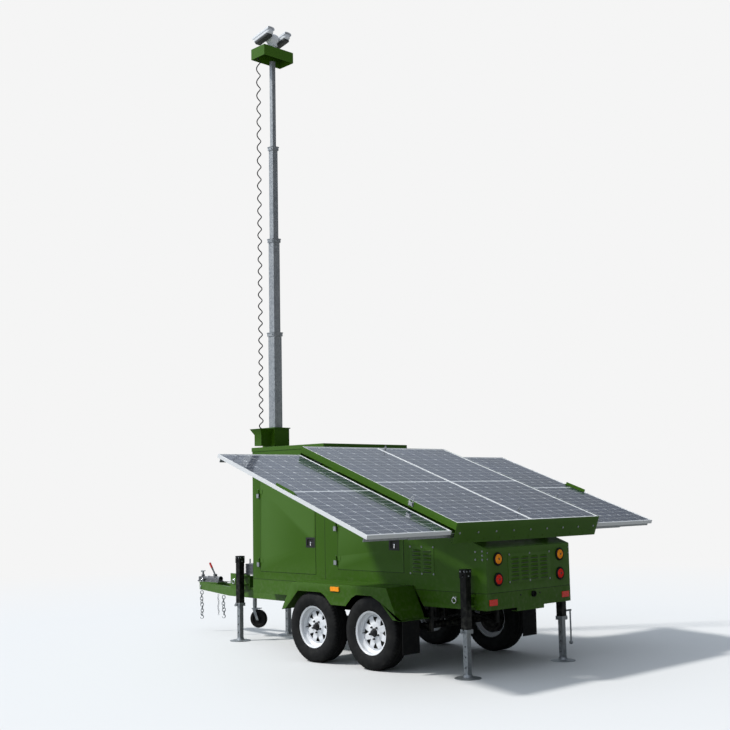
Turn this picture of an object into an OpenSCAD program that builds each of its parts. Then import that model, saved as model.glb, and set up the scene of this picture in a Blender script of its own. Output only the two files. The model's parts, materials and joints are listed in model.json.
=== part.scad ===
// Tandem-axle surveillance trailer: solar array, equipment cabinet and telescopic mast.
// X runs forward to the coupling, Y to the left side and Z up. The ground is Z = 0.
// Inside the modules X = 0 is the cabinet's rear face; in_frame() moves the whole to its own middle.

/* [Cabinet] */
// Length of the cabinet along X
cab_l = 3310; // [3200:2:4000]
// Width of the cabinet across Y
cab_w = 1210; // [1140:2:1460]
// Height of the underside of the main frame above the ground
frame_z = 582; // [560:2:640]
// Height of the main frame channel
frame_h = 148; // [120:2:170]
// Height of the rear wall above the main frame
rear_wall_h = 394; // [340:2:470]
// Distance from the rear face to the step in the roof
step_x = 2130; // [2080:10:2300]
// Height of the raised roof above the main frame
cap_h = 1411; // [1330:1:1700]
// Thickness of the cabinet sheet
sheet_t = 3; // [2:0.5:5]
// Overhang of the raised roof's drip edge
drip = 6; // [3:1:12]

/* [Doors] */
// Width of the equipment door
door1_w = 898; // [700:2:900]
// Height of the equipment door
door1_h = 1045; // [900:5:1130]
// Distance from the cabinet's front to the equipment door
door1_inset = 135; // [110:5:200]
// Height of the equipment door's lower edge above the main frame
door1_z = 85; // [40:5:120]
// Width of the battery door
door2_w = 917; // [600:1:940]
// Height of the battery door
door2_h = 507; // [350:1:520]
// Distance from the step in the roof to the battery door
door2_inset = 195; // [170:5:260]
// Height of the battery door's lower edge above the main frame
door2_z = 148; // [60:2:160]
// Depth of a door's folded edge
door_t = 24; // [16:1:32]
// Gap round a closed door
door_gap = 4; // [2:0.5:6]
// Radius of a hinge pin
pin_r = 4; // [3:0.5:6]
// Radius of a hinge barrel
barrel_r = 8; // [7:0.5:11]
// Length of a hinge barrel
barrel_l = 90; // [60:5:120]
// Width of a latch paddle
paddle_w = 92; // [70:2:110]
// Height of a latch paddle
paddle_h = 62; // [50:2:80]

/* [Louvres] */
// Width of the rear louvre panel
rear_lv_w = 616; // [500:4:700]
// Height of the rear louvre panel
rear_lv_h = 259; // [220:1:300]
// Length of a side louvre panel
side_lv_w = 304; // [260:2:360]
// Height of a side louvre panel
side_lv_h = 257; // [220:1:300]
// Rows of louvres in a panel
lv_rows = 6; // [3:1:7]
// Length of one louvre
lv_l = 112; // [80:2:130]

/* [Solar array] */
// Slope of the array in degrees
tilt = 20; // [12:0.5:24]
// Length of the tray along the slope
tray_l = 2156; // [2100:2:2200]
// Width of the tray across Y
tray_w = 2074; // [1980:2:2200]
// Depth of the tray's end fascias
tray_h = 188; // [180:1:230]
// Distance from the rear face back to the tray's top edge
tray_back = 60; // [40:2:120]
// Height of the clear gap between roof and tray
tray_lift = 56; // [40:2:90]
// Height of the tray's side rails
side_rail_h = 65; // [50:1:72]
// Thickness of a solar module
module_t = 35; // [30:1:40]
// Length of a sliding module along the slope
slide_l = 2107; // [1750:1:2120]
// Width of a sliding module
slide_w = 1000; // [900:5:1010]
// Depth of the sliding modules below the tray's top
slide_drop = 81; // [76:1:90]
// Gap between the tray and a module that is pulled out
slide_gap = 17; // [10:1:40]

/* [Running gear] */
// Radius of a tyre
tyre_r = 340; // [280:1:355]
// Width of a tyre
tyre_w = 205; // [185:1:215]
// Radius of the rim's bead seat
rim_r = 190; // [175:1:200]
// Width of the rim over its flanges
rim_w = 165; // [150:1:175]
// Gap between the cabinet's side and a tyre
tyre_gap = 140.5; // [120:0.5:170]
// Position of the rear axle along X
axle_x = 1146; // [1100:2:1250]
// Distance between the two axles
axle_gap = 810; // [760:2:900]
// Radius of a wheel spindle
spindle_r = 20; // [16:1:24]
// Height of the fender's top
fender_z = 765; // [750:1:800]
// Height of a mud flap
flap_h = 296; // [240:2:340]
// Width of a mud flap
flap_w = 220; // [180:2:230]

/* [Jacks] */
// Outside width of a jack's square tube
jack_w = 68; // [60:1:80]
// Wall of a jack's tubes
jack_t = 4; // [3:0.5:6]
// Height of a jack tube's lower end
jack_z = 385; // [340:5:430]
// Height of a jack's top
jack_top = 945; // [900:5:1000]
// Outside width of the inner leg
leg_w = 50; // [44:1:56]
// Upward travel of the inner leg
leg_travel = 290; // [200:5:310]
// Radius of a jack's foot
foot_r = 118; // [90:1:130]
// Position of the rear jacks along X
jack_rx = 177; // [150:1:260]
// Gap between the cabinet's side and a rear jack
jack_gap = 50; // [40:1:90]
// Position of the front jacks ahead of the cabinet
jack_fx = 563; // [520:1:640]
// Offset of the front jacks from the middle
jack_fy = 352; // [345:1:420]

/* [Tongue] */
// Distance from the cabinet's front to the tongue's end plate
tongue_l = 1740; // [1600:10:1900]
// Spread of the tongue rails at the cabinet's front
tongue_spread = 300; // [260:5:380]
// Width of a tongue rail
rail_w = 50; // [40:2:60]
// Height of a tongue rail
rail_h = 100; // [80:2:120]
// Length of the coupling head beyond the end plate
head_l = 105; // [90:5:140]
// Radius of the jockey wheel
jockey_r = 103; // [90:1:120]
// Height of the jockey wheel's axle when raised
jockey_z = 203; // [180:1:260]
// Upward travel of the jockey tube
jockey_travel = 120; // [60:5:150]

/* [Mast] */
// Distance from the cabinet's front to the mast
mast_gap = 330; // [260:5:400]
// Width of the mast housing
housing_w = 220; // [200:5:260]
// Height of the mast housing's top
housing_z = 2396; // [2200:4:2500]
// Outside width of the lowest mast section
sec1_w = 110; // [106:1:134]
// Wall of a mast section
sec_t = 5; // [3:0.5:6]
// Step in width from one section to the next
sec_step = 18; // [15:1:22]
// Exposed length of a mast section when raised
sec_out = 1115; // [1000:5:1200]
// Length of a section that stays inside the one below
sec_in = 190; // [150:5:260]
// Downward travel of each mast section
sec_travel = 940; // [700:5:960]
// Height of a mast collar
collar_h = 46; // [36:2:60]
// Width of the box on the mast across Y
box_w = 445; // [400:5:500]
// Length of the box on the mast along X
box_l = 250; // [230:5:320]
// Height of the box on the mast
box_h = 130; // [100:5:160]
// Length of a camera pod
pod_l = 290; // [240:5:330]
// Width of a camera pod
pod_w = 96; // [80:2:110]

/* [Hidden] */
$fn = 48;
eps = 0.05;                 // radial clearance of running pins
seat_gap = 0.05;            // clearance between pieces that are bolted face to face
half_w = cab_w / 2;
seam_z = frame_z + frame_h;
rear_top = seam_z + rear_wall_h;
cap_z = seam_z + cap_h;
roof_at_step = rear_top + step_x * tan(tilt);
door_side = half_w + 2;     // outer face of a closed door
hinge_off = 11;             // hinge axis outside the door's outer face
hinge_x = 17;               // hinge axis ahead of the door's front edge
door1_x = cab_l - door1_inset;
door2_x = step_x - door2_inset;
paddle_drop = 6;            // paddle's face behind the door's outer face
pocket_d = 20;
paddle_pin_r = 3;
paddle_pin_d = 6;           // paddle's pin behind its face and below its top
latch1_x = 76;
latch1_z = 319;
latch2_x = 121;
latch2_z = 257;
hinge1_z = [90, door1_h - 220];
rack_w = 840;
rack_t = 12;
// Units on the rack: right side, height above the seam, width, height and depth
rack_units = [[-380, 600, 340, 440, 120], [40, 660, 260, 340, 90], [-220, 200, 440, 220, 140]];
battery_l = 400;
battery_w = 240;
battery_h = 225;
side_lv_x = 779;            // middle of a side louvre panel
lamp_r = 42;
lamp_ring_r = 49.5;
lamp_y = 450;
lamp_amber_z = seam_z + 296;
lamp_red_z = seam_z + 117;
marker_x = axle_x + axle_gap / 2 + 37;
socket_y = -37;
socket_z = seam_z - 42;
ring_x = [383, 954];        // lashing rings along a side
ring_z = [seam_z - 70, seam_z - 90];
hinge2_z = [85, door2_h - 85];

// Tray, measured along its own slope: u up the slope, v across, w square to it
roof_w = -(tray_h + tray_lift);
tray_z = rear_top - (roof_w + tray_back * sin(tilt)) / cos(tilt);
slide_u = (tray_l - slide_l) / 2;
slide_in = tray_w / 2 + slide_gap;
slide_out = slide_in + slide_w;
rail_u = slide_u + 37.5;     // slide channels from the tray's ends
ch_w = 40;                  // slide channel: height, depth and wall
ch_d = 12;
ch_t = 2.5;
ch_top = -(slide_drop + module_t + 2);
runner_h = 31;
runner_d = 7;
inner_h = 24;
inner_d = 6;
slide_y = 37;                // inner ends of the slide channels
slide_len = tray_w / 2 - slide_y;
slide_travel = slide_w;

// Running gear
wheel_y = half_w + tyre_gap + tyre_w / 2;
axles_x = [axle_x, axle_x + axle_gap];
fender_out = wheel_y + tyre_w / 2 + 15;
fender_t = 3;
fender_r = axles_x[0] - 247;   // ends of the fender's flat top
fender_f = axles_x[1] + 276;
spring_y = half_w - 130;

// Jacks and tongue
jack_ry = half_w + jack_gap + jack_w / 2;
foot_h = 34;
cap_box_h = 78;
leg_top = jack_top - cap_box_h - leg_travel - 6;
jack_f = cab_l + jack_fx;
jack_places = [[jack_f, jack_fy], [jack_f, -jack_fy], [jack_rx, jack_ry], [jack_rx, -jack_ry]];
crank_z = jack_z + 80;
crank_l = 300;
crank_y = -jack_ry - foot_r - 22;   // the crank hangs clear of the foot's edge
tip_x = cab_l + tongue_l;
x_front = tip_x + head_l;
tongue_rear = cab_l - 260;
tip_y = 45;
mast_x = cab_l + mast_gap;
jockey_x = tip_x - 995;
jockey_tube_r = 24;
jockey_trail = 50;
jockey_turn = 25;
clamp_z = 600;
end_plate_top = 153;        // top of the tongue's end plates above the frame's underside

// Mast
w1 = sec1_w;
w2 = w1 - sec_step;
w3 = w2 - sec_step;
w4 = w3 - sec_step - 5;
sec_w = [w1, w2, w3, w4];
box_z = housing_z + 4 * sec_out - 61;
box_t = 3;
pan_r = 62;
head_w = 150;
head_h = 205;
pod_z = box_z + box_h + 150;
pod_gap = 6;
shaft_r = 18;
cable_x = mast_x + 30;
cable_y = 190;
cable_r = 29;
hopper_z = housing_z - 210;
// The hopper's back, front and width at its neck and at its mouth, from the mast's axis and the housing
hopper_neck = [-50, 75, 145];
hopper_mouth = [-90, 105, 190];
hopper_flare_z = 85;   // the flare starts this far below the housing's top
hopper_drop = 17;      // the mouth sits this far below it

x_rear = -tray_back;
x_mid = (x_rear + x_front) / 2;

green = [0.20, 0.33, 0.10];
galv = [0.66, 0.69, 0.72];
black = [0.05, 0.05, 0.06];

// ---- Helpers -------------------------------------------------------------------------------

// Moves the trailer so that its own middle is at X = 0
module in_frame() translate([-x_mid, 0, 0]) children();

// The children on both sides of the trailer
module both_sides() {
    children();
    mirror([0, 1, 0]) children();
}

// Box from one corner to the opposite one
module span(a, b) translate(a) cube(b - a);

// Cylinder along Y between two Y values
module rod_y(x, z, y0, y1, r) translate([x, y0, z]) rotate([-90, 0, 0]) cylinder(r = r, h = y1 - y0);

// Cylinder along X between two X values
module rod_x(y, z, x0, x1, r) translate([x0, y, z]) rotate([0, 90, 0]) cylinder(r = r, h = x1 - x0);

// Square tube standing on its lower end, middle on the axis
module square_tube(w, t, h) {
    difference() {
        translate([-w / 2, -w / 2, 0]) cube([w, w, h]);
        translate([-w / 2 + t, -w / 2 + t, -1]) cube([w - 2 * t, w - 2 * t, h + 2]);
    }
}

// Outline in X and Z, drawn out along Y between two Y values
module slab_y(points, y0, y1)
    translate([0, y1, 0]) rotate([90, 0, 0]) linear_extrude(y1 - y0) polygon(points);

// The tray's own axes
module on_tray() translate([-tray_back, 0, tray_z]) rotate([0, -tilt, 0]) children();

// ---- Chassis -------------------------------------------------------------------------------

// Channel along X, its web outside
module side_channel() {
    difference() {
        span([0, half_w - 55, frame_z], [cab_l, half_w, seam_z]);
        span([-1, half_w - 56, frame_z + 6], [cab_l + 1, half_w - 5, seam_z - 6]);
    }
}

// Bracket that holds a jack's tube to the frame
module jack_bracket(x, y_frame, y_tube) {
    span([x - 50, y_frame, seam_z - 120], [x + 50, y_tube, seam_z - 100]);
    span([x - 50, y_frame, seam_z - 30], [x + 50, y_tube, seam_z - 10]);
    span([x - 6, y_frame, seam_z - 100], [x + 6, y_tube, seam_z - 30]);
}

module chassis_frame() {
    color(green) {
        both_sides() {
            side_channel();
            jack_bracket(jack_rx, half_w, jack_ry - jack_w / 2);
        }
        // rear and front beams close the channels
        span([0, -half_w + 55, frame_z], [6, half_w - 55, seam_z]);
        span([cab_l - 6, -half_w + 55, frame_z], [cab_l, half_w - 55, seam_z]);
        for (x = [500, 1000, 1551, 2100, 2600, 3020])
            span([x, -half_w + 5, frame_z + 6], [x + 60, half_w - 5, seam_z - 6]);
        // step under the rear beam
        span([0, -195, frame_z - 33], [5, 195, frame_z]);
        span([5, -195, frame_z - 33], [70, 195, frame_z - 28]);
    }
}

// ---- Tongue --------------------------------------------------------------------------------

// Offset of a tongue rail's middle at a given X
function rail_y(x) = tip_y + (tip_x - x) * (tongue_spread - tip_y) / tongue_l;

module tongue_rail() {
    ang = atan((tongue_spread - tip_y) / tongue_l);
    len = (tip_x - tongue_rear) / cos(ang);
    z_top = frame_z;
    translate([tip_x, tip_y, 0])
        rotate([0, 0, 180 - ang])
            translate([0, rail_w / 2, 0])
                rotate([90, 0, 0])
                    linear_extrude(rail_w)
                        polygon([
                            [0, z_top - 85], [0, z_top],
                            [750, z_top - 18], [len, z_top],
                            [len, z_top - rail_h], [750, z_top - 18 - rail_h]
                        ]);
}

module tongue_frame() {
    plate_z = frame_z - 22;
    beam_x = jack_f - 45;
    color(green) {
        both_sides() {
            tongue_rail();
            // end plate that carries the jack
            span(
                [beam_x - 20, jack_fy - jack_w / 2 - 62, plate_z],
                [beam_x + 338, jack_fy - jack_w / 2 - 52, frame_z + end_plate_top]
            );
            span(
                [jack_f - 40, jack_fy - jack_w / 2 - 52, seam_z - 120],
                [jack_f + 40, jack_fy - jack_w / 2, seam_z - 106]
            );
            span(
                [jack_f - 40, jack_fy - jack_w / 2 - 52, seam_z - 30],
                [jack_f + 40, jack_fy - jack_w / 2, seam_z - 16]
            );
        }
        // cross beam between the end plates
        span(
            [beam_x, -jack_fy + jack_w / 2 + 62, plate_z + 22],
            [beam_x + 90, jack_fy - jack_w / 2 - 62, plate_z + 150]
        );
        // plate under the mast housing
        span([mast_x - 150, -270, frame_z - 12], [mast_x + 150, 270, frame_z]);
        // end plate under the coupling
        span([tip_x - 360, -tip_y - 35, frame_z - 4], [tip_x, tip_y + 35, frame_z + 6]);
        span([tip_x - 8, -tip_y - 25, frame_z - 85], [tip_x, tip_y + 25, frame_z - 4]);
        // jockey clamp on an arm from the cross beam
        difference() {
            union() {
                translate([jockey_x, 0, clamp_z - 30]) cylinder(r = jockey_tube_r + 9, h = 90);
                span([beam_x + 90, -20, clamp_z - 10], [jockey_x - jockey_tube_r - 5, 20, clamp_z + 40]);
            }
            translate([jockey_x, 0, clamp_z - 31]) cylinder(r = jockey_tube_r + eps, h = 92);
        }
    }
}

module coupler() {
    z = frame_z + 6;
    color([0.55, 0.57, 0.60]) {
        // overrun housing, its foot and the drawbar
        span([tip_x - 340, -48, z], [tip_x - 60, 48, z + 10]);
        span([tip_x - 330, -32, z + 10], [tip_x - 90, 32, z + 42]);
        rod_x(0, z + 40, tip_x - 335, tip_x - 80, 28);
        rod_x(0, z + 40, tip_x - 80, tip_x + 10, 22);
        // ball head
        difference() {
            union() {
                translate([x_front - 55, 0, z + 5]) cylinder(r = 42, h = 52);
                span([tip_x - 5, -26, z + 14], [x_front - 55, 26, z + 57]);
                translate([x_front - 55, 0, z]) cylinder(r = 54, h = 13);
            }
            translate([x_front - 55, 0, z - 2]) cylinder(r = 25.2, h = 34);
        }
        // ears of the latch handle and of the brake lever
        for (s = [-1, 1]) {
            span([x_front - 90, s * 14 - 3, z + 56], [x_front - 66, s * 14 + 3, z + 82]);
            span([tip_x - 240, s * 14 - 3, z + 66], [tip_x - 206, s * 14 + 3, z + 96]);
        }
        rod_y(x_front - 78, z + 72, -18, 18, 4);
        rod_y(tip_x - 223, z + 84, -18, 18, 5);
    }
}

// Handle over the ball head, hooked back at its top
module coupler_latch() {
    z = frame_z + 78;
    hx = x_front - 78;
    color(galv)
        difference() {
            union() {
                rod_y(hx, z, -10, 10, 11);
                span([hx - 6, -10, z], [hx + 6, 10, z + 46]);
                span([hx - 6, -10, z + 38], [hx + 34, 10, z + 50]);
                span([hx - 38, -10, z + 50], [hx + 34, 10, z + 58]);
            }
            rod_y(hx, z, -11, 11, 4 + eps);
        }
}

module handbrake_lever() {
    z = frame_z + 90;
    hx = tip_x - 223;
    color([0.62, 0.60, 0.60])
        difference() {
            union() {
                rod_y(hx, z, -10, 10, 14);
                translate([hx, 0, z])
                    rotate([0, 38, 0]) {
                        span([-9, -5, 0], [9, 5, 90]);
                        translate([0, 0, 80]) cylinder(r = 11, h = 100);
                    }
            }
            rod_y(hx, z, -11, 11, 5 + eps);
        }
}

// One chain link standing on end, wire radius r, inside length l
module chain_link(l, w, r) {
    rotate([90, 0, 0])
        for (s = [-1, 1]) {
            translate([0, s * l / 2, 0])
                rotate([0, 0, s > 0 ? 0 : 180])
                    rotate_extrude(angle = 180, $fn = 16) translate([w / 2, 0]) circle(r = r, $fn = 8);
            translate([s * w / 2, l / 2, 0]) rotate([90, 0, 0]) cylinder(r = r, h = l, $fn = 8);
        }
}

// A hanging chain: its top, the number of links and their size
module chain(top, count, l, w, r) {
    pitch = l + w - 2 * r - 0.6;
    translate(top)
        for (i = [0 : count - 1])
            translate([0, 0, -w / 2 - l / 2 - i * pitch])
                rotate([0, 0, i * 90])
                    chain_link(l, w, r);
}

module safety_chains() {
    color(galv) {
        hang_z = frame_z - 100;
        chain([tip_x - 88, rail_y(tip_x - 88) + 44, hang_z + 10], 12, 21, 19, 4);
        chain([tip_x - 630, rail_y(tip_x - 630) + 40, hang_z - 24], 8, 21, 19, 4);
        chain([tip_x - 490, rail_y(tip_x - 490) + 34, hang_z - 16], 12, 11, 10, 2);
        // hooks that the chains hang from
        span(
            [tip_x - 94, rail_y(tip_x - 88) + 26, hang_z + 10],
            [tip_x - 82, rail_y(tip_x - 88) + 48, hang_z + 30]
        );
        span(
            [tip_x - 636, rail_y(tip_x - 630) + 27.5, hang_z - 24],
            [tip_x - 624, rail_y(tip_x - 630) + 44, hang_z]
        );
        span(
            [tip_x - 494, rail_y(tip_x - 490) + 27.5, hang_z - 16],
            [tip_x - 486, rail_y(tip_x - 490) + 37, hang_z]
        );
    }
}

// ---- Running gear --------------------------------------------------------------------------

module axles() {
    color(black)
        for (x = axles_x) {
            rod_y(x, tyre_r, -wheel_y + 70, wheel_y - 70, 34);
            both_sides() {
                rod_y(x, tyre_r, wheel_y - 70, wheel_y + 28, spindle_r);
                rod_y(x, tyre_r, wheel_y - 70, wheel_y - 58, 110);
            }
        }
}

// Arc of one leaf between two ends, from its middle outwards
module leaf(half, rise, t, y) {
    r = (half * half + rise * rise) / (2 * rise);
    a = asin(half / r);
    steps = 10;
    outer = [for (i = [-steps : steps]) [r * sin(a * i / steps), r * cos(a * i / steps) - r]];
    in_r = r - t;
    inner = [for (i = [steps : -1 : -steps]) [in_r * sin(a * i / steps), in_r * cos(a * i / steps) - r]];
    slab_y(concat(outer, inner), y - 30, y + 30);
}

module leaf_springs() {
    hanger_r = 16;
    half = axle_gap / 2 - 60;
    seat = tyre_r + 34;
    color(black)
        both_sides()
            for (x = axles_x) {
                translate([x, 0, seat + 34]) {
                    leaf(half, 70, 8, spring_y);
                    translate([0, 0, -8]) leaf(half * 0.75, 70 * 0.5625, 8, spring_y);
                    translate([0, 0, -16]) leaf(half * 0.5, 70 * 0.25, 8, spring_y);
                }
                // seat and U-bolt plates on the axle
                span([x - 45, spring_y - 34, seat], [x + 45, spring_y + 34, seat + 11]);
                // hangers from the frame to the spring's ends
                for (s = [-1, 1])
                    span(
                        [x + s * half - 12, spring_y - 20, seat - 42 + 8],
                        [x + s * half + 12, spring_y + 20, frame_z]
                    );
            }
}

// Strip of sheet that follows a chain of points in X and Z
module strip(points, t, y0, y1) {
    n = len(points);
    low = [for (i = [n - 1 : -1 : 0]) [points[i][0], points[i][1] - t]];
    slab_y(concat(points, low), y0, y1);
}

module fenders() {
    end_f = [fender_f + 158, fender_z - 274];
    end_r = [fender_r - 139, fender_z - 285];
    mid = (axles_x[0] + axles_x[1]) / 2;
    arch_z = fender_z - 82;
    gap_z = fender_z - 193;
    color(green)
        both_sides() {
            strip([
                [end_r[0] - 62, end_r[1]], end_r, [fender_r, fender_z], [fender_f, fender_z], end_f
            ], fender_t, half_w, fender_out);
            slab_y([
                end_r, [fender_r, fender_z], [fender_f, fender_z], end_f,
                [end_f[0] - 62, end_f[1] + 12], [end_f[0] - 250, arch_z], [mid + 250, arch_z],
                [mid + 190, arch_z - 30], [mid + 103, gap_z], [mid - 103, gap_z], [mid - 190, arch_z - 30],
                [mid - 250, arch_z], [end_r[0] + 338, arch_z], [end_r[0] + 220, arch_z - 52],
                [end_r[0] + 60, end_r[1] + 2]
            ], fender_out - fender_t, fender_out);
        }
}

module mud_flaps() {
    x = fender_r - 139 - 60;
    top = fender_z - 285 - fender_t;
    color(black)
        both_sides() {
            span([x - 3, fender_out - flap_w, top - flap_h], [x + 3, fender_out - 2, top]);
            for (y = [40, flap_w / 2, flap_w - 40])
                rod_x(fender_out - y, top - 18, x - 7, x - 3, 7);
        }
}

module tyre(x, side) {
    h = tyre_w / 2;
    tread = h - 18;
    bead = rim_w / 2 - 8;
    low_wall = rim_r + (tyre_r - rim_r) * 0.37;
    high_wall = rim_r + (tyre_r - rim_r) * 0.65;
    translate([x, side * wheel_y, tyre_r])
        rotate([90, 0, 0])
            color(black)
                difference() {
                    rotate_extrude($fn = 96)
                        polygon([
                            [rim_r, -bead], [rim_r + 14, -bead], [low_wall, -h], [high_wall, -h + 2],
                            [tyre_r - 14, -tread - 2], [tyre_r, -tread + 12], [tyre_r, tread - 12],
                            [tyre_r - 14, tread + 2], [high_wall, h - 2], [low_wall, h],
                            [rim_r + 14, bead], [rim_r, bead], [rim_r, bead - 12], [rim_r + 24, bead - 12],
                            [low_wall, h - 12], [high_wall, h - 14], [tyre_r - 20, tread - 10],
                            [tyre_r - 20, -tread + 10], [high_wall, -h + 14], [low_wall, -h + 12],
                            [rim_r + 24, -bead + 12], [rim_r, -bead + 12]
                        ]);
                    for (g = [-44, 0, 44])
                        rotate_extrude($fn = 96) translate([tyre_r - 7, g - 4]) square([8, 8]);
                }
}

module rim(x, side) {
    b = rim_w / 2;
    disc = 22;
    translate([x, side * wheel_y, tyre_r])
        rotate([side > 0 ? -90 : 90, 0, 0])
            color([0.92, 0.92, 0.90])
                difference() {
                    union() {
                        rotate_extrude($fn = 96)
                            polygon([
                                [rim_r - 4, -b], [rim_r + 14, -b], [rim_r + 14, -b + 4], [rim_r, -b + 8],
                                [rim_r, -b + 30], [rim_r - 22, -b + 44], [rim_r - 22, b - 60],
                                [rim_r, b - 44], [rim_r, b - 8], [rim_r + 14, b - 4], [rim_r + 14, b],
                                [rim_r - 4, b], [rim_r - 4, b - 46], [rim_r - 26, b - 62],
                                [rim_r - 26, -b + 46], [rim_r - 4, -b + 32]
                            ]);
                        translate([0, 0, disc]) cylinder(r = rim_r - 22, h = 5, $fn = 96);
                        translate([0, 0, -30]) cylinder(r = 42, h = 90);
                        for (i = [0 : 4])
                            rotate([0, 0, i * 72])
                                translate([57, 0, disc + 5]) cylinder(r = 9, h = 16, $fn = 6);
                    }
                    translate([0, 0, -31]) cylinder(r = spindle_r + eps, h = 78);
                    for (i = [0 : 7])
                        rotate([0, 0, i * 45 + 22.5])
                            translate([128, 0, disc - 1])
                                rotate([0, 0, 180])
                                    cylinder(r = 27, h = 7, $fn = 3);
                }
}

// ---- Cabinet -------------------------------------------------------------------------------

// Hole for a door in the left wall: front edge, width, lower edge and height
module door_hole(x, w, z, h) {
    span(
        [x - w - door_gap, half_w - 40, seam_z + z - door_gap],
        [x + door_gap, half_w + 10, seam_z + z + h + door_gap]
    );
}

module cabinet_shell() {
    s = sheet_t;
    color(green) {
        difference() {
            slab_y([
                [s, seam_z], [s, rear_top - s], [step_x, roof_at_step - s], [step_x, cap_z - s],
                [cab_l, cap_z - s], [cab_l, seam_z]
            ], -half_w, half_w);
            slab_y([
                [-1, seam_z + s], [-1, rear_top + 99],
                [step_x + s, roof_at_step + 99], [step_x + s, cap_z + 99],
                [cab_l - s, cap_z + 99], [cab_l - s, seam_z + s]
            ], -half_w + s, half_w - s);
            door_hole(door1_x, door1_w, door1_z, door1_h);
            door_hole(door2_x, door2_w, door2_z, door2_h);
            mirror([0, 1, 0]) door_hole(door1_x, door1_w, door1_z, door1_h);
        }
        // wall between the battery room and the equipment room
        span([step_x, -half_w + s, seam_z + s], [step_x + s, half_w - s, cap_z - s]);
    }
}

module cabinet_roof() {
    s = sheet_t;
    color(green) {
        // sloped roof under the array
        slab_y([
            [0, rear_top - s], [0, rear_top], [step_x, roof_at_step], [step_x, roof_at_step - s]
        ], -half_w, half_w);
        // raised roof with its drip edge
        difference() {
            span([step_x - drip, -half_w - drip, cap_z - 40], [cab_l + drip, half_w + drip, cap_z + s]);
            span([step_x, -half_w, cap_z - 41], [cab_l, half_w, cap_z - s]);
            span([step_x, -half_w + s, cap_z - s - 1], [cab_l, half_w - s, cap_z]);
        }
    }
}

// Louvre bars pressed out of a panel: the panel lies in X and Z, facing -Y
module louvres(cols, w, h) {
    pitch_x = w / cols;
    pitch_z = (h - 40) / lv_rows;
    for (i = [0 : cols - 1])
        for (k = [0 : lv_rows - 1])
            translate([-w / 2 + pitch_x * (i + 0.5) - lv_l / 2, 0, -h / 2 + 26 + pitch_z * k])
                rotate([0, 90, 0])
                    linear_extrude(lv_l)
                        polygon([[0, -sheet_t], [0, -sheet_t - 11], [-4, -sheet_t - 11], [-20, -sheet_t]]);
}

// Flat louvred panel with bolts round its edge
module louvre_panel(cols, w, h) {
    span([-w / 2, -sheet_t, -h / 2], [w / 2, 0, h / 2]);
    louvres(cols, w - 30, h);
    for (x = [-w / 2 + 10, 0, w / 2 - 10])
        for (z = [-h / 2 + 9, h / 2 - 9])
            rod_y(x, z, -sheet_t - 4, -sheet_t, 5);
}

module louvre_panels() {
    color(green) {
        // rear wall
        difference() {
            span([0, -half_w, seam_z], [sheet_t, half_w, rear_top - sheet_t]);
            for (y = [-lamp_y, lamp_y])
                for (z = [lamp_red_z, lamp_amber_z])
                    rod_x(y, z, -1, sheet_t + 1, lamp_ring_r + 0.5);
        }
        translate([0, 0, seam_z + 205]) rotate([0, 0, -90]) louvre_panel(4, rear_lv_w, rear_lv_h);
        // a panel on each side
        both_sides()
            translate([side_lv_x, half_w, seam_z + 270])
                rotate([0, 0, 180])
                    louvre_panel(2, side_lv_w, side_lv_h);
    }
}

// ---- Doors ---------------------------------------------------------------------------------

// A door closed on the left side, from its front edge back: size, latch place and hinge heights
module door_panel(w, h, lx, lz, hz) {
    pw = paddle_w + 12;
    ph = paddle_h + 12;
    x = -w + lx;
    difference() {
        union() {
            difference() {
                span([-w, -door_t, 0], [0, 0, h]);
                span([-w + 2, -door_t - 1, 2], [-2, -2, h - 2]);
            }
            // stiffener across the inside and the latch pocket's tray
            span([-w + 2, -door_t, h * 0.62], [-2, -door_t + 3, h * 0.62 + 60]);
            span([x - pw / 2 - 2, -pocket_d - 2, lz - ph / 2 - 2], [x + pw / 2 + 2, -1, lz + ph / 2 + 2]);
            // leaves and knuckles of the hinges
            for (z = hz) {
                span([-40, 0, z + 1], [hinge_x, 3, z + barrel_l / 2]);
                span([hinge_x - 3, 0, z + 1], [hinge_x + 3, hinge_off, z + barrel_l / 2]);
                translate([hinge_x, hinge_off, z + 1]) cylinder(r = barrel_r, h = barrel_l / 2 - 1);
            }
        }
        span([x - pw / 2, -pocket_d, lz - ph / 2], [x + pw / 2, 1, lz + ph / 2]);
        // bores for the paddle's pin and the hinge pins
        pin_z = lz + paddle_h / 2 - paddle_pin_d;
        rod_x(-paddle_drop - paddle_pin_d, pin_z, x - pw / 2 - 3, x + pw / 2 + 3, paddle_pin_r + eps);
        for (z = hz)
            translate([hinge_x, hinge_off, z]) cylinder(r = pin_r + eps, h = barrel_l / 2 + 1);
    }
}

// Paddle that lifts out of the door's pocket about its upper edge
module latch_paddle(w, lx, lz) {
    x = -w + lx;
    y = -paddle_drop;
    top = lz + paddle_h / 2;
    span([x - paddle_w / 2, y - 5, lz - paddle_h / 2], [x + paddle_w / 2, y, top - 8]);
    span([x - paddle_w / 2, y - 10, top - 10], [x + paddle_w / 2, y - 2, top - 4]);
    rod_x(y - paddle_pin_d, top - paddle_pin_d, x - paddle_w / 2 - 7.5, x + paddle_w / 2 + 7.5, paddle_pin_r);
    rod_y(x, lz - 6, y, y + 3, 10);
}

module at_door1() translate([door1_x, door_side, seam_z + door1_z]) children();
module at_door2() translate([door2_x, door_side, seam_z + door2_z]) children();

module equipment_door_left()
    color(green) at_door1() door_panel(door1_w, door1_h, latch1_x, latch1_z, hinge1_z);
module equipment_door_right() mirror([0, 1, 0]) equipment_door_left();
module battery_door_left() color(green) at_door2() door_panel(door2_w, door2_h, latch2_x, latch2_z, hinge2_z);

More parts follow.
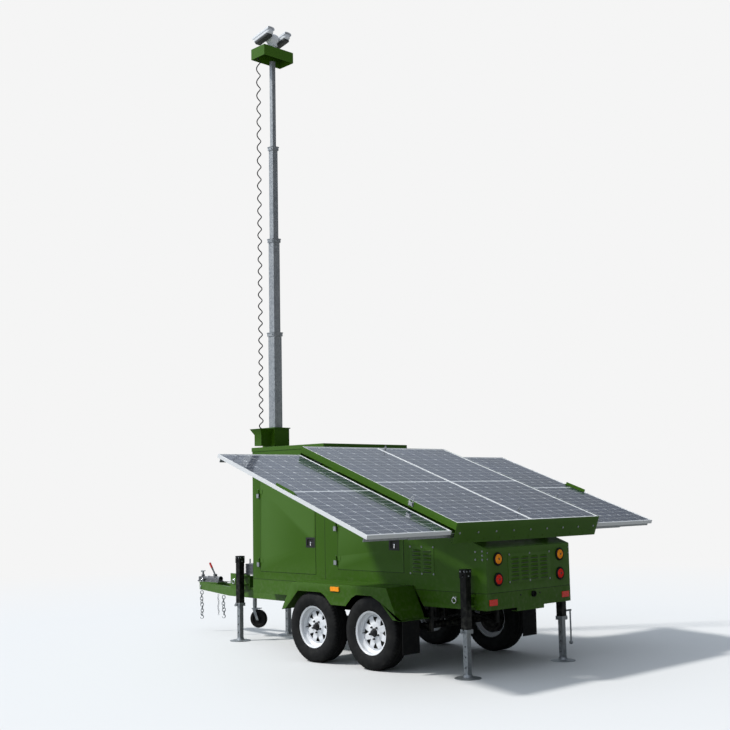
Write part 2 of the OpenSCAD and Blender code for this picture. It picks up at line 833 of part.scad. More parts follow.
module equipment_latch_left() color(black) at_door1() latch_paddle(door1_w, latch1_x, latch1_z);
module equipment_latch_right() mirror([0, 1, 0]) equipment_latch_left();
module battery_latch_left() color(black) at_door2() latch_paddle(door2_w, latch2_x, latch2_z);

// Fixed half of a hinge: leaf on the wall, lower knuckle and pin
module hinge_half(z) {
    wall = -2;
    span([hinge_x, wall, z - barrel_l / 2], [hinge_x + 50, wall + 3, z]);
    span([hinge_x - 3, wall + 3, z - barrel_l / 2], [hinge_x + 3, hinge_off, z]);
    translate([hinge_x, hinge_off, z - barrel_l / 2]) cylinder(r = barrel_r, h = barrel_l / 2);
    translate([hinge_x, hinge_off, z - 1]) cylinder(r = pin_r, h = barrel_l / 2 + 4);
}

module door_hinges() {
    color(galv) {
        both_sides()
            at_door1()
                for (z = hinge1_z) hinge_half(z);
        at_door2()
            for (z = hinge2_z) hinge_half(z);
    }
}

// ---- Inside the cabinet --------------------------------------------------------------------

module battery_bank() {
    color([0.12, 0.13, 0.15])
        for (i = [0 : 3])
            for (s = [-1, 1]) {
                x = 260 + i * (battery_l + 20);
                y = s * 260;
                top = seam_z + battery_h;
                span([x, y - battery_w / 2, seam_z + sheet_t], [x + battery_l, y + battery_w / 2, top]);
                for (t = [60, battery_l - 60])
                    translate([x + t, y, top]) cylinder(r = 10, h = 14);
            }
}

module equipment_rack() {
    x = step_x + sheet_t;
    color([0.75, 0.76, 0.77]) {
        // back board with inverter, charge controller and recorder
        span([x, -rack_w / 2, seam_z + 120], [x + rack_t, rack_w / 2, seam_z + 1100]);
        for (unit = rack_units)
            translate([x + rack_t, unit[0], seam_z + unit[1]]) cube([unit[4], unit[2], unit[3]]);
    }
}

// ---- Lamps and small fittings --------------------------------------------------------------

module rear_fittings() {
    color(black) {
        both_sides()
            for (z = [lamp_amber_z, lamp_red_z])
                difference() {
                    rod_x(lamp_y, z, -12, 20, lamp_ring_r);
                    rod_x(lamp_y, z, -13, 12, lamp_r);
                }
        // round socket for the tail cable
        difference() {
            rod_x(socket_y, socket_z, -22, 0, 27);
            rod_x(socket_y, socket_z, -23, -6, 20);
        }
        rod_x(socket_y, socket_z, -16, -6, 5);
    }
}

module amber_lamps() {
    color([0.95, 0.50, 0.05])
        both_sides() {
            rod_x(lamp_y, lamp_amber_z, -14, 12, lamp_r);
            span([marker_x - 60, fender_out, fender_z - 62], [marker_x + 60, fender_out + 12, fender_z - 20]);
        }
}

module red_lamps() {
    color([0.80, 0.06, 0.04])
        both_sides() {
            rod_x(lamp_y, lamp_red_z, -14, 12, lamp_r);
            span([-5, 470, seam_z - 108], [0, 580, seam_z - 54]);
        }
}

// Lashing ring on its plate, lying against a wall that faces +Y
module lashing_ring(x, y, z) {
    span([x - 22, y, z + 8], [x + 22, y + 4, z + 26]);
    translate([x, y + 11, z - 4])
        rotate([90, 0, 0])
            rotate_extrude() translate([24, 0]) circle(r = 4.5, $fn = 16);
    rod_y(x, z + 18, y + 4, y + 12, 6);
}

module tie_rings() {
    color([0.80, 0.81, 0.83])
        both_sides() {
            for (i = [0, 1]) lashing_ring(ring_x[i], half_w, ring_z[i]);
            lashing_ring(jack_f + 228, jack_fy - jack_w / 2 - 52, frame_z + 65);
        }
}

// ---- Solar array ---------------------------------------------------------------------------

module tray_frame() {
    hw = tray_w / 2;
    s = sheet_t;
    ledge = -module_t;
    bar_z = ch_top - ch_w;
    color(green) {
        on_tray() {
            // end fascias with a fold along their lower edges
            for (u = [0, tray_l - s])
                span([u, -hw, -tray_h], [u + s, hw, 0]);
            span([s, -hw, -tray_h], [25, hw, -tray_h + s]);
            span([tray_l - 25, -hw, -tray_h], [tray_l - s, hw, -tray_h + s]);
            both_sides() {
                // side rails and the ledges that the fixed modules rest on
                span([s, hw - s, -side_rail_h], [tray_l - s, hw, 0]);
                span([s, hw - 30, ledge - s], [tray_l - s, hw - s, ledge]);
                // lengthways bars below the slides, and the bearers on the roof
                span([s, 430, -tray_h + s], [tray_l - s, 470, bar_z]);
                span([120, 430, roof_w + seat_gap], [tray_l - 160, 470, -tray_h]);
                span([120, 430, -tray_h], [tray_l - 160, 470, -tray_h + s]);
            }
            span([s, -20, ledge - 30], [tray_l - s, 20, ledge]);
            span([s, -hw + s, ledge - s], [24, hw - s, ledge]);
            span([tray_l - 24, -hw + s, ledge - s], [tray_l - s, hw - s, ledge]);
            // bolt heads along the rear fascia
            for (i = [-4 : 4])
                translate([-4, i * 210, -tray_h + 28]) rotate([0, 90, 0]) cylinder(r = 7, h = 4);
        }
    }
}

// One framed solar module, its top at w = 0
module solar_module(l, w) {
    f = 12;
    color([0.10, 0.14, 0.24])
        difference() {
            cube([l, w, module_t]);
            translate([f, f, -1]) cube([l - 2 * f, w - 2 * f, module_t - 6]);
            translate([f, f, module_t - 1]) cube([l - 2 * f, w - 2 * f, 2]);
        }
}

module fixed_modules() {
    w = tray_w / 2 - sheet_t - 3;
    on_tray()
        for (y = [1, -w - 1])
            translate([sheet_t + 1, y, -module_t]) solar_module(tray_l - 2 * sheet_t - 2, w);
}

// The children at both slide channels, each channel open towards the middle of the tray
module at_channels()
    for (u = [rail_u, tray_l - rail_u])
        translate([u, 0, 0])
            mirror([u < tray_l / 2 ? 0 : 1, 0, 0])
                children();

module slide_channels() {
    color(galv)
        on_tray()
            both_sides()
                at_channels()
                    difference() {
                        span([-ch_d, slide_y, ch_top - ch_w], [0, slide_y + slide_len, ch_top]);
                        span(
                            [-ch_d + ch_t, slide_y - 1, ch_top - ch_w + ch_t],
                            [1, slide_y + slide_len + 1, ch_top - ch_t]
                        );
                    }
}

module slide_runners_left() {
    z = ch_top - ch_w / 2;
    y = slide_y + slide_travel / 2;
    u0 = -ch_d + ch_t + 1;
    color(galv)
        on_tray()
            at_channels()
                span([u0, y, z - runner_h / 2], [u0 + runner_d, y + slide_len, z + runner_h / 2]);
}
module slide_runners_right() mirror([0, 1, 0]) slide_runners_left();

module slide_module_left() {
    z = ch_top - ch_w / 2;
    u0 = -ch_d + ch_t + 2 + runner_d;
    on_tray() {
        translate([slide_u, slide_in, -slide_drop - module_t]) solar_module(slide_l, slide_w);
        color(galv)
            at_channels() {
                span([u0, slide_in + 6, z - inner_h / 2], [u0 + inner_d, slide_out - 6, z + inner_h / 2]);
                span(
                    [u0 + 2, slide_in + 6, z + inner_h / 2],
                    [u0 + inner_d, slide_out - 6, -slide_drop - module_t]
                );
            }
        // handle angle on the outer edge
        color(green) {
            span(
                [tray_l / 2 - 90, slide_out - 40, -slide_drop],
                [tray_l / 2 + 90, slide_out, -slide_drop + 4]
            );
            span(
                [tray_l / 2 - 90, slide_out - 12, -slide_drop + 4],
                [tray_l / 2 + 90, slide_out - 8, -slide_drop + 36]
            );
        }
    }
}
module slide_module_right() mirror([0, 1, 0]) slide_module_left();

// ---- Jacks ---------------------------------------------------------------------------------

module jack_tubes() {
    color(black)
        for (p = jack_places) {
            s = sign(p[1]);
            translate([p[0], p[1], 0]) {
                translate([0, 0, jack_z]) square_tube(jack_w, jack_t, jack_top - jack_z - cap_box_h);
                translate([-jack_w / 2 - 4, -jack_w / 2 - 4, jack_top - cap_box_h])
                    cube([jack_w + 8, jack_w + 8, cap_box_h]);
                // crank sockets and the locking pin
                for (z = [jack_top - 22, jack_top - 56])
                    mirror([0, s > 0 ? 0 : 1, 0]) rod_y(0, z, jack_w / 2 + 4, jack_w / 2 + 16, 9);
                mirror([0, s > 0 ? 0 : 1, 0]) rod_y(0, jack_z + 30, jack_w / 2, jack_w / 2 + 14, 7);
            }
        }
    // boss on the rear right jack that the crank turns in
    color(black)
        difference() {
            rod_y(jack_rx, crank_z, -jack_ry - jack_w / 2 - 16, -jack_ry - jack_w / 2, 18);
            rod_y(jack_rx, crank_z, -jack_ry - jack_w / 2 - 17, -jack_ry - jack_w / 2 - 2, 9 + eps);
        }
}

module jack_leg(p) {
    color(galv)
        translate([p[0], p[1], 0]) {
            difference() {
                translate([0, 0, foot_h - 4]) square_tube(leg_w, jack_t, leg_top - foot_h + 4);
                for (i = [0 : 2])
                    rod_y(0, foot_h + 60 + i * 90, -leg_w, leg_w, 8);
            }
            // dished foot
            rotate_extrude($fn = 64)
                polygon([
                    [0, 4], [foot_r - 26, 4], [foot_r - 10, 0], [foot_r, 0], [foot_r, 5], [foot_r - 8, 5],
                    [foot_r - 22, 10], [44, 14], [38, foot_h], [0, foot_h]
                ]);
        }
}

module jack_leg_front_left() jack_leg(jack_places[0]);
module jack_leg_front_right() jack_leg(jack_places[1]);
module jack_leg_rear_left() jack_leg(jack_places[2]);
module jack_leg_rear_right() jack_leg(jack_places[3]);

module jack_crank() {
    color(galv) {
        rod_y(jack_rx, crank_z, crank_y - 14, -jack_ry - jack_w / 2 - 3, 9);
        translate([jack_rx, crank_y, crank_z]) rotate([0, 180, 0]) cylinder(r = 8, h = crank_l);
        translate([jack_rx, crank_y, crank_z - crank_l - 8]) sphere(r = 18);
    }
}

// ---- Jockey wheel --------------------------------------------------------------------------

module at_jockey() translate([jockey_x, 0, 0]) rotate([0, 0, jockey_turn]) children();

module jockey_tube() {
    color(galv) {
        difference() {
            translate([jockey_x, 0, jockey_z + jockey_r + 42]) cylinder(r = jockey_tube_r, h = 470);
            translate([jockey_x, 0, jockey_z + jockey_r + 41]) cylinder(r = 12 + eps, h = 42);
        }
        translate([jockey_x, 0, jockey_z + jockey_r + 512]) cylinder(r = 15, h = 30);
        translate([jockey_x, 0, jockey_z + jockey_r + 528]) rotate([0, 90, 0]) cylinder(r = 5, h = 90);
        translate([jockey_x + 85, 0, jockey_z + jockey_r + 520]) cylinder(r = 9, h = 60);
    }
}

module jockey_fork() {
    top = jockey_z + jockey_r + 10;
    color(galv)
        at_jockey() {
            translate([0, 0, top + 8]) cylinder(r = 22, h = 23.7);
            translate([0, 0, top + 8]) cylinder(r = 12, h = 60);
            span([-jockey_trail - 24, -34, top], [26, 34, top + 8]);
            for (s = [-1, 1])
                slab_y([
                    [-18, top], [18, top],
                    [-jockey_trail + 16, jockey_z - 16], [-jockey_trail - 16, jockey_z - 16]
                ], s * 31 - 3, s * 31 + 3);
            rod_y(-jockey_trail, jockey_z, -38, 38, 8);
        }
}

module jockey_wheel() {
    color(black)
        at_jockey()
            translate([-jockey_trail, 0, jockey_z])
                rotate([90, 0, 0])
                    difference() {
                        rotate_extrude($fn = 64)
                            polygon([
                                [0, -26], [24, -26], [30, -12], [62, -12], [66, -24], [jockey_r - 8, -24],
                                [jockey_r, -15], [jockey_r, 15], [jockey_r - 8, 24], [66, 24], [62, 12],
                                [30, 12], [24, 26], [0, 26]
                            ]);
                        cylinder(r = 8 + eps, h = 80, center = true);
                    }
}

// ---- Mast ----------------------------------------------------------------------------------

// Top of section n above the ground, counted from 1; section 4 ends inside the box
function sec_top(n) = housing_z + n * sec_out;

// Funnel beside the housing: a neck under a flared mouth, with its walls moved in by t
module hopper(t, low, high) {
    side_y = housing_w / 2;
    neck_z = housing_z - hopper_flare_z;
    back = mast_x + hopper_neck[0] + t;
    front = mast_x + hopper_neck[1] - t;
    span([back, side_y + t, low], [front, side_y + hopper_neck[2] - t, neck_z]);
    hull() {
        span([back, side_y + t, neck_z - 1], [front, side_y + hopper_neck[2] - t, neck_z]);
        translate([mast_x, side_y, high - 1])
            span([hopper_mouth[0] + t, t, 0], [hopper_mouth[1] - t, hopper_mouth[2] - t, 1]);
    }
}

module mast_housing() {
    guide = w1 / 2 + 1;
    color(green) {
        translate([mast_x, 0, frame_z]) square_tube(housing_w, 5, housing_z - frame_z - 12);
        difference() {
            span(
                [mast_x - housing_w / 2 - 10, -housing_w / 2 - 10, housing_z - 12],
                [mast_x + housing_w / 2 + 10, housing_w / 2 + 10, housing_z]
            );
            span([mast_x - guide, -guide, housing_z - 13], [mast_x + guide, guide, housing_z + 1]);
        }
        // foot flange and a guide half way down
        difference() {
            span([mast_x - 140, -140, frame_z], [mast_x + 140, 140, frame_z + 10]);
            span(
                [mast_x - housing_w / 2 + 5, -housing_w / 2 + 5, frame_z - 1],
                [mast_x + housing_w / 2 - 5, housing_w / 2 - 5, frame_z + 11]
            );
        }
        // tie from the cabinet's front wall
        span([cab_l, -60, cap_z - 330], [mast_x - housing_w / 2, 60, cap_z - 310]);
        span([cab_l, -60, seam_z + 300], [mast_x - housing_w / 2, 60, seam_z + 320]);
        // hopper that takes the coiled cable, open at its top
        difference() {
            hopper(0, hopper_z, housing_z - hopper_drop);
            hopper(3, hopper_z + 3, housing_z - hopper_drop + 1);
        }
    }
}

// Ribbed electric winch on a bracket beside the housing
module mast_winch() {
    x = mast_x + 70;
    z = frame_z + end_plate_top + 15;
    y = jack_fy - jack_w / 2 - 18;
    color([0.55, 0.56, 0.57]) {
        span([x - 20, housing_w / 2, z - 14], [x + 150, y, z]);
        span([x, y - 140, z], [x + 130, y - 6, z + 105]);
        for (i = [0 : 5])
            span([x - 6, y - 146, z + 12 + i * 16], [x + 136, y, z + 18 + i * 16]);
        rod_y(x + 65, z + 50, housing_w / 2, y - 140, 34);
    }
}

// One square section with the collar that guides the next one
module mast_section(n) {
    w = sec_w[n - 1];
    low = sec_top(n - 1) - sec_in;
    top = sec_top(n);
    hole = (n < 4 ? sec_w[n] : 0) + 2;
    plate = w + 26;
    color(galv)
        translate([mast_x, 0, 0]) {
            if (n == 4) {
                translate([0, 0, low]) square_tube(w, sec_t, box_z - low);
            } else {
                translate([0, 0, low]) square_tube(w, sec_t, top - collar_h - low);
                difference() {
                    union() {
                        translate([-plate / 2 + 4, -plate / 2 + 4, top - collar_h])
                            cube([plate - 8, plate - 8, collar_h - 10]);
                        translate([-plate / 2, -plate / 2, top - 10]) cube([plate, plate, 10]);
                    }
                    translate([-hole / 2, -hole / 2, top - collar_h - 1]) cube([hole, hole, collar_h + 2]);
                }
                // clamping bolts on the collar
                for (a = [0 : 90 : 270])
                    rotate([0, 0, a])
                        translate([plate / 2 - 4, plate / 4, top - collar_h / 2 - 4])
                            rotate([0, 90, 0])
                                cylinder(r = 7, h = 10);
            }
        }
}

module mast_section_1() mast_section(1);
module mast_section_2() mast_section(2);
module mast_section_3() mast_section(3);
module mast_section_4() mast_section(4);

module mast_top_box() {
    color(green)
        translate([mast_x, 0, box_z])
            difference() {
                span([-box_l / 2, -box_w / 2, 0], [box_l / 2, box_w / 2, box_h]);
                span(
                    [-box_l / 2 + box_t, -box_w / 2 + box_t, -1],
                    [box_l / 2 - box_t, box_w / 2 - box_t, box_h - box_t]
                );
            }
}

module camera_pan_head() {
    z = box_z + box_h;
    color([0.90, 0.91, 0.92])
        translate([mast_x, 0, 0]) {
            translate([0, 0, z + 0.3]) cylinder(r = pan_r, h = 26);
            translate([0, 0, z + 26]) cylinder(r = 50, h = 30);
            difference() {
                translate([-60, -head_w / 2, z + 56]) cube([120, head_w, head_h - 56]);
                rod_y(0, pod_z, -head_w, head_w, shaft_r + eps);
            }
        }
}

// Two camera pods on one tilting shaft
module camera_pods() {
    in_y = head_w / 2 + pod_gap;
    color([0.88, 0.89, 0.90])
        translate([mast_x, 0, 0]) {
            rod_y(0, pod_z, -in_y, in_y, shaft_r);
            both_sides() {
                translate([0, in_y, pod_z])
                    rotate([0, 10, 0]) {
                        span([-pod_l / 2, 0, -50], [pod_l / 2, pod_w, 50]);
                        span([-pod_l / 2 - 10, -2, 50], [pod_l / 2 + 24, pod_w + 6, 58]);
                    }
            }
        }
}

module coiled_cable() {
    low = hopper_z + 90;
    color(black) translate([cable_x, cable_y, low]) cylinder(r = cable_r, h = box_z + 20 - low);
}

// ---- Parts ---------------------------------------------------------------------------------

in_frame() chassis_frame();
in_frame() tongue_frame();
in_frame() coupler();
in_frame() coupler_latch();
in_frame() handbrake_lever();
in_frame() safety_chains();
in_frame() axles();
in_frame() leaf_springs();
in_frame() fenders();
in_frame() mud_flaps();
in_frame() tyre(axles_x[1], 1);  // tyre_front_left
in_frame() tyre(axles_x[1], -1);  // tyre_front_right
in_frame() tyre(axles_x[0], 1);  // tyre_rear_left
in_frame() tyre(axles_x[0], -1);  // tyre_rear_right
in_frame() rim(axles_x[1], 1);  // rim_front_left
in_frame() rim(axles_x[1], -1);  // rim_front_right
in_frame() rim(axles_x[0], 1);  // rim_rear_left
in_frame() rim(axles_x[0], -1);  // rim_rear_right
in_frame() cabinet_shell();
in_frame() cabinet_roof();
in_frame() louvre_panels();
in_frame() door_hinges();
in_frame() equipment_door_left();
in_frame() equipment_door_right();
in_frame() battery_door_left();
in_frame() equipment_latch_left();
in_frame() equipment_latch_right();
in_frame() battery_latch_left();
in_frame() battery_bank();
in_frame() equipment_rack();
in_frame() rear_fittings();
in_frame() amber_lamps();
in_frame() red_lamps();
in_frame() tie_rings();
in_frame() tray_frame();
in_frame() fixed_modules();
in_frame() slide_channels();
in_frame() slide_runners_left();
in_frame() slide_runners_right();
in_frame() slide_module_left();
in_frame() slide_module_right();
in_frame() jack_tubes();
in_frame() jack_leg_front_left();
in_frame() jack_leg_front_right();
in_frame() jack_leg_rear_left();
in_frame() jack_leg_rear_right();
in_frame() jack_crank();
in_frame() jockey_tube();
in_frame() jockey_fork();
in_frame() jockey_wheel();
in_frame() mast_housing();
in_frame() mast_winch();
in_frame() mast_section_1();
in_frame() mast_section_2();
in_frame() mast_section_3();
in_frame() mast_section_4();
in_frame() mast_top_box();
in_frame() camera_pan_head();
in_frame() camera_pods();
in_frame() coiled_cable();
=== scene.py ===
"""Looks of a tandem-axle surveillance trailer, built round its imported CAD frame.

Metres. X runs forward to the coupling, Y to the left side and Z up, with the ground at Z = 0.
at(x, y, z) counts x forward from the cabinet's rear face, as the CAD source does.
"""
import json
import math

import bmesh
import bpy
from mathutils import Matrix, Vector

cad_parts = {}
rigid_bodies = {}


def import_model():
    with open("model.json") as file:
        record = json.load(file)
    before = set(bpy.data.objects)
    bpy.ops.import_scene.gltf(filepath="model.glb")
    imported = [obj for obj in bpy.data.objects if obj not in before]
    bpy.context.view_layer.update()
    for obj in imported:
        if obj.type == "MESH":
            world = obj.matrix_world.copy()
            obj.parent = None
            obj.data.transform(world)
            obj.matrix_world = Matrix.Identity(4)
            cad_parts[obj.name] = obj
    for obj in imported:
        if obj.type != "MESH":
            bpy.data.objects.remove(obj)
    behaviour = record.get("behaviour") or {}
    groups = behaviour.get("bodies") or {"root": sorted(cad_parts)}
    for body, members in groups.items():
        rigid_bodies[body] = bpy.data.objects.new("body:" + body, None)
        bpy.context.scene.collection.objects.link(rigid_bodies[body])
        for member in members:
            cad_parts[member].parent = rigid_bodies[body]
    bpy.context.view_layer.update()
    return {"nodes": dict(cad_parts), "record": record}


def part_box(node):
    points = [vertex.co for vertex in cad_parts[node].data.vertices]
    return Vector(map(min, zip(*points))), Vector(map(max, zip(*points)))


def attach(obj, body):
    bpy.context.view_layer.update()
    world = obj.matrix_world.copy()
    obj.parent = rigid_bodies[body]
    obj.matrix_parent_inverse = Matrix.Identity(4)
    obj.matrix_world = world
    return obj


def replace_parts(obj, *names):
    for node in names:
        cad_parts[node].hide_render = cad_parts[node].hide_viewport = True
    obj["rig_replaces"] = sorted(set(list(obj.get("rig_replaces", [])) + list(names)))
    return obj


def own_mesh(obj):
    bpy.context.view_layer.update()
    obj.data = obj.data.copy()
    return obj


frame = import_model()
NODES = frame["nodes"]

UP = Vector((0, 0, 1))
LEFT = Vector((0, 1, 0))
FORWARD = Vector((1, 0, 0))
REAR_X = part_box("chassis_frame")[0].x


def at(x, y, z):
    """A point x ahead of the cabinet's rear face."""
    return Vector((REAR_X + x, y, z))


# Driving places, from the frame
HALF_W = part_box("cabinet_shell")[1].y
CAB_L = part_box("cabinet_shell")[1].x - REAR_X
FRAME_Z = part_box("mast_housing")[0].z
SEAM_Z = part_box("cabinet_shell")[0].z
STEP_X = 2.130
TIP_X = 5.050
REAR_TOP = 1.124

# The tray slopes up towards the front: u up the slope, v across, w square to it
TILT = math.radians(20)
TRAY_L = 2.156
TRAY_BACK = 0.060
TRAY_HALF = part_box("tray_frame")[1].y
TRAY = (
    Matrix.Translation(at(-TRAY_BACK, 0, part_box("tray_frame")[1].z - TRAY_L * math.sin(TILT)))
    @ Matrix.Rotation(-TILT, 4, "Y")
)


# ---- Camera ----------------------------------------------------------------------------------

def make_camera():
    """Stands behind the left side at about eye height, level with the fenders and looking up a little."""
    data = bpy.data.cameras.new("camera")
    data.lens = 56.27
    data.sensor_width = 36
    data.clip_end = 300
    camera = bpy.data.objects.new("camera", data)
    bpy.context.scene.collection.objects.link(camera)
    right = Vector((-0.68996, -0.72361, -0.01828))
    up = Vector((-0.09305, 0.06361, 0.99363))
    back = right.cross(up)
    turn = Matrix((right, up, back)).transposed()
    camera.matrix_world = Matrix.Translation((-9.1738, 8.3807, 1.6325)) @ turn.to_4x4()
    bpy.context.scene.camera = camera


make_camera()


# ---- Materials -------------------------------------------------------------------------------

class Finish:
    """A procedural material being put together round one principled shader."""

    def __init__(self, name, **sockets):
        self.material = bpy.data.materials.new(name)
        self.material.use_nodes = True
        self.tree = self.material.node_tree
        self.shader = self.tree.nodes["Principled BSDF"]
        self.coords = self.tree.nodes.new("ShaderNodeTexCoord").outputs["Object"]
        for key, value in sockets.items():
            self.shader.inputs[key.replace("_", " ").title().replace("Ior", "IOR")].default_value = value

    def link(self, source, target):
        self.tree.links.new(source, target)

    def noise(self, scale, detail=3.0, stretch=(1, 1, 1)):
        """Cloudy value from 0 to 1, scale in features a metre."""
        mapping = self.tree.nodes.new("ShaderNodeMapping")
        mapping.inputs["Scale"].default_value = stretch
        self.link(self.coords, mapping.inputs["Vector"])
        texture = self.tree.nodes.new("ShaderNodeTexNoise")
        texture.inputs["Scale"].default_value = scale
        texture.inputs["Detail"].default_value = detail
        self.link(mapping.outputs["Vector"], texture.inputs["Vector"])
        return texture.outputs["Fac"]

    def cells(self, scale):
        """Random value from 0 to 1 for each crystal or facet."""
        texture = self.tree.nodes.new("ShaderNodeTexVoronoi")
        texture.inputs["Scale"].default_value = scale
        self.link(self.coords, texture.inputs["Vector"])
        split = self.tree.nodes.new("ShaderNodeSeparateColor")
        self.link(texture.outputs["Color"], split.inputs["Color"])
        return split.outputs[0]

    def band(self, value, low, high, to_low=0.0, to_high=1.0):
        """Value mapped from low..high to to_low..to_high, clamped."""
        node = self.tree.nodes.new("ShaderNodeMapRange")
        for key, number in zip(("From Min", "From Max", "To Min", "To Max"), (low, high, to_low, to_high)):
            node.inputs[key].default_value = number
        self.link(value, node.inputs["Value"])
        return node.outputs["Result"]

    def times(self, a, b):
        node = self.tree.nodes.new("ShaderNodeMath")
        node.operation = "MULTIPLY"
        self.link(a, node.inputs[0])
        if isinstance(b, (int, float)):
            node.inputs[1].default_value = b
        else:
            self.link(b, node.inputs[1])
        return node.outputs[0]

    def mix(self, factor, a, b):
        """Colour between a and b, each a colour or an output."""
        node = self.tree.nodes.new("ShaderNodeMix")
        node.data_type = "RGBA"
        self.link(factor, node.inputs["Factor"])
        for colour, socket in ((a, node.inputs[6]), (b, node.inputs[7])):
            if isinstance(colour, tuple):
                socket.default_value = (*colour, 1)
            else:
                self.link(colour, socket)
        return node.outputs[2]

    def height(self):
        """Height of the point above the ground at rest."""
        split = self.tree.nodes.new("ShaderNodeSeparateXYZ")
        self.link(self.coords, split.inputs[0])
        return split.outputs["Z"]

    def edges(self, low=0.53, high=0.62):
        """1 on sharp outer edges, where the painted highlight goes."""
        geometry = self.tree.nodes.new("ShaderNodeNewGeometry")
        return self.band(geometry.outputs["Pointiness"], low, high)

    def colour(self, output):
        self.link(output, self.shader.inputs["Base Color"])

    def rough(self, output):
        self.link(output, self.shader.inputs["Roughness"])

    def bump(self, value, depth, strength=1.0):
        node = self.tree.nodes.new("ShaderNodeBump")
        node.inputs["Strength"].default_value = strength
        node.inputs["Distance"].default_value = depth
        self.link(value, node.inputs["Height"])
        self.link(node.outputs["Normal"], self.shader.inputs["Normal"])


def painted(name, base, light, roughness=0.36, coat=0.03, dust=(0.30, 0.29, 0.24), dirt=0.22):
    """Sprayed paint: faint orange peel, cloudy tone, a painted highlight along sharp edges and road dust low
    down.
    """
    f = Finish(name, coat_weight=coat, coat_roughness=0.22, specular_ior_level=0.12)
    tone = f.mix(f.band(f.noise(2.2, 4), 0.3, 0.7), base, light)
    low_down = f.band(f.height(), 0.95, 0.35)
    dusty = f.times(f.times(f.band(f.noise(26, 6), 0.45, 0.75), low_down), dirt)
    tone = f.mix(dusty, tone, dust)
    # Sharp edges are mixed half way towards a brighter tone: a painted highlight, not wear
    edge_highlight_colour = tuple(min(1.0, 1.5 * c + 0.03) for c in base)
    f.colour(f.mix(f.times(f.edges(), 0.5), tone, edge_highlight_colour))
    f.rough(f.band(f.noise(9, 5), 0.3, 0.7, roughness - 0.06, roughness + 0.1))
    f.bump(f.noise(420, 2), 0.0004, 0.25)
    return f.material


def galvanised_steel():
    f = Finish("galvanised", metallic=0.75, specular_ior_level=0.3)
    spangle = f.cells(75)
    bloom = f.band(f.noise(5, 6), 0.4, 0.75)
    tone = f.mix(spangle, (0.24, 0.255, 0.27), (0.37, 0.39, 0.41))
    f.colour(f.mix(f.times(bloom, 0.5), tone, (0.43, 0.445, 0.45)))
    f.rough(f.band(spangle, 0, 1, 0.40, 0.58))
    f.bump(f.noise(160, 4), 0.0005, 0.3)
    return f.material


def brushed_aluminium():
    f = Finish("anodised_aluminium", metallic=0.15, specular_ior_level=0.4)
    grain = f.noise(40, 4, stretch=(1, 30, 30))
    f.colour(f.mix(grain, (0.60, 0.61, 0.62), (0.74, 0.75, 0.76)))
    f.rough(f.band(grain, 0.2, 0.8, 0.32, 0.5))
    f.bump(grain, 0.0002, 0.2)
    return f.material


def moulded_rubber(name, tone=0.017, dusty=0.05, roughness=0.68, coarse=170):
    f = Finish(name, specular_ior_level=0.16)
    clean = (tone, tone, tone * 1.06)
    worn = (tone + dusty, tone + dusty * 0.97, tone + dusty * 0.88)
    f.colour(f.mix(f.times(f.band(f.noise(14, 6), 0.42, 0.8), 0.6), clean, worn))
    f.rough(f.band(f.noise(30, 4), 0.3, 0.7, roughness - 0.08, roughness + 0.12))
    f.bump(f.noise(coarse * 4, 3), 0.0006, 0.45)
    return f.material


def moulded_plastic(name, base, light, roughness=0.42, grain=900):
    f = Finish(name, specular_ior_level=0.25)
    f.colour(f.mix(f.band(f.noise(7, 4), 0.3, 0.7), base, light))
    f.rough(f.band(f.noise(22, 4), 0.3, 0.7, roughness - 0.06, roughness + 0.1))
    f.bump(f.noise(grain, 2), 0.0003, 0.3)
    return f.material


def polished_chrome():
    f = Finish("chrome", metallic=1.0)
    smudge = f.band(f.noise(60, 5), 0.45, 0.75)
    f.colour(f.mix(smudge, (0.80, 0.81, 0.83), (0.66, 0.66, 0.67)))
    f.rough(f.band(smudge, 0, 1, 0.1, 0.32))
    f.bump(f.noise(300, 2), 0.0001, 0.15)
    return f.material


def lamp_lens(name, base, deep):
    """Clear coloured plastic with prisms moulded on its inside."""
    f = Finish(name, coat_weight=0.3, coat_roughness=0.04, roughness=0.22, specular_ior_level=0.2)
    prisms = f.cells(260)
    f.colour(f.mix(f.times(prisms, 0.6), base, deep))
    f.rough(f.band(f.noise(80, 3), 0.3, 0.7, 0.16, 0.3))
    f.bump(prisms, 0.0006, 0.35)
    return f.material


def solar_cell():
    """Dark silicon under glass, with silver fingers and busbars drawn from each cell's own map."""
    f = Finish("solar_cell", coat_weight=1.0, coat_roughness=0.05, coat_ior=1.5, specular_ior_level=0.3)
    uv = f.tree.nodes.new("ShaderNodeUVMap")
    split = f.tree.nodes.new("ShaderNodeSeparateXYZ")
    f.link(uv.outputs["UV"], split.inputs[0])

    def lines(value, count, width):
        node = f.tree.nodes.new("ShaderNodeMath")
        node.operation = "PINGPONG"
        node.inputs[1].default_value = 0.5 / count
        f.link(value, node.inputs[0])
        return f.band(node.outputs[0], width, width * 0.6)

    crystal = f.band(f.noise(1.4, 2), 0.35, 0.65)
    tone = f.mix(crystal, (0.005, 0.010, 0.036), (0.009, 0.017, 0.056))
    tone = f.mix(f.times(lines(split.outputs["X"], 60, 0.0022), 0.15), tone, (0.05, 0.055, 0.07))
    tone = f.mix(lines(split.outputs["Y"], 5, 0.007), tone, (0.40, 0.42, 0.45))
    film = f.times(f.band(f.noise(3.5, 6), 0.45, 0.85), 0.05)
    f.colour(f.mix(film, tone, (0.22, 0.22, 0.21)))
    f.rough(f.band(f.noise(18, 5), 0.3, 0.7, 0.14, 0.3))
    f.bump(f.noise(700, 2), 0.0001, 0.1)
    return f.material


def backsheet():
    f = Finish("backsheet", coat_weight=1.0, coat_roughness=0.05)
    f.colour(f.mix(f.band(f.noise(6, 4), 0.3, 0.7), (0.62, 0.64, 0.67), (0.72, 0.74, 0.77)))
    f.rough(f.band(f.noise(30, 3), 0.3, 0.7, 0.3, 0.45))
    f.bump(f.noise(700, 2), 0.0001, 0.1)
    return f.material


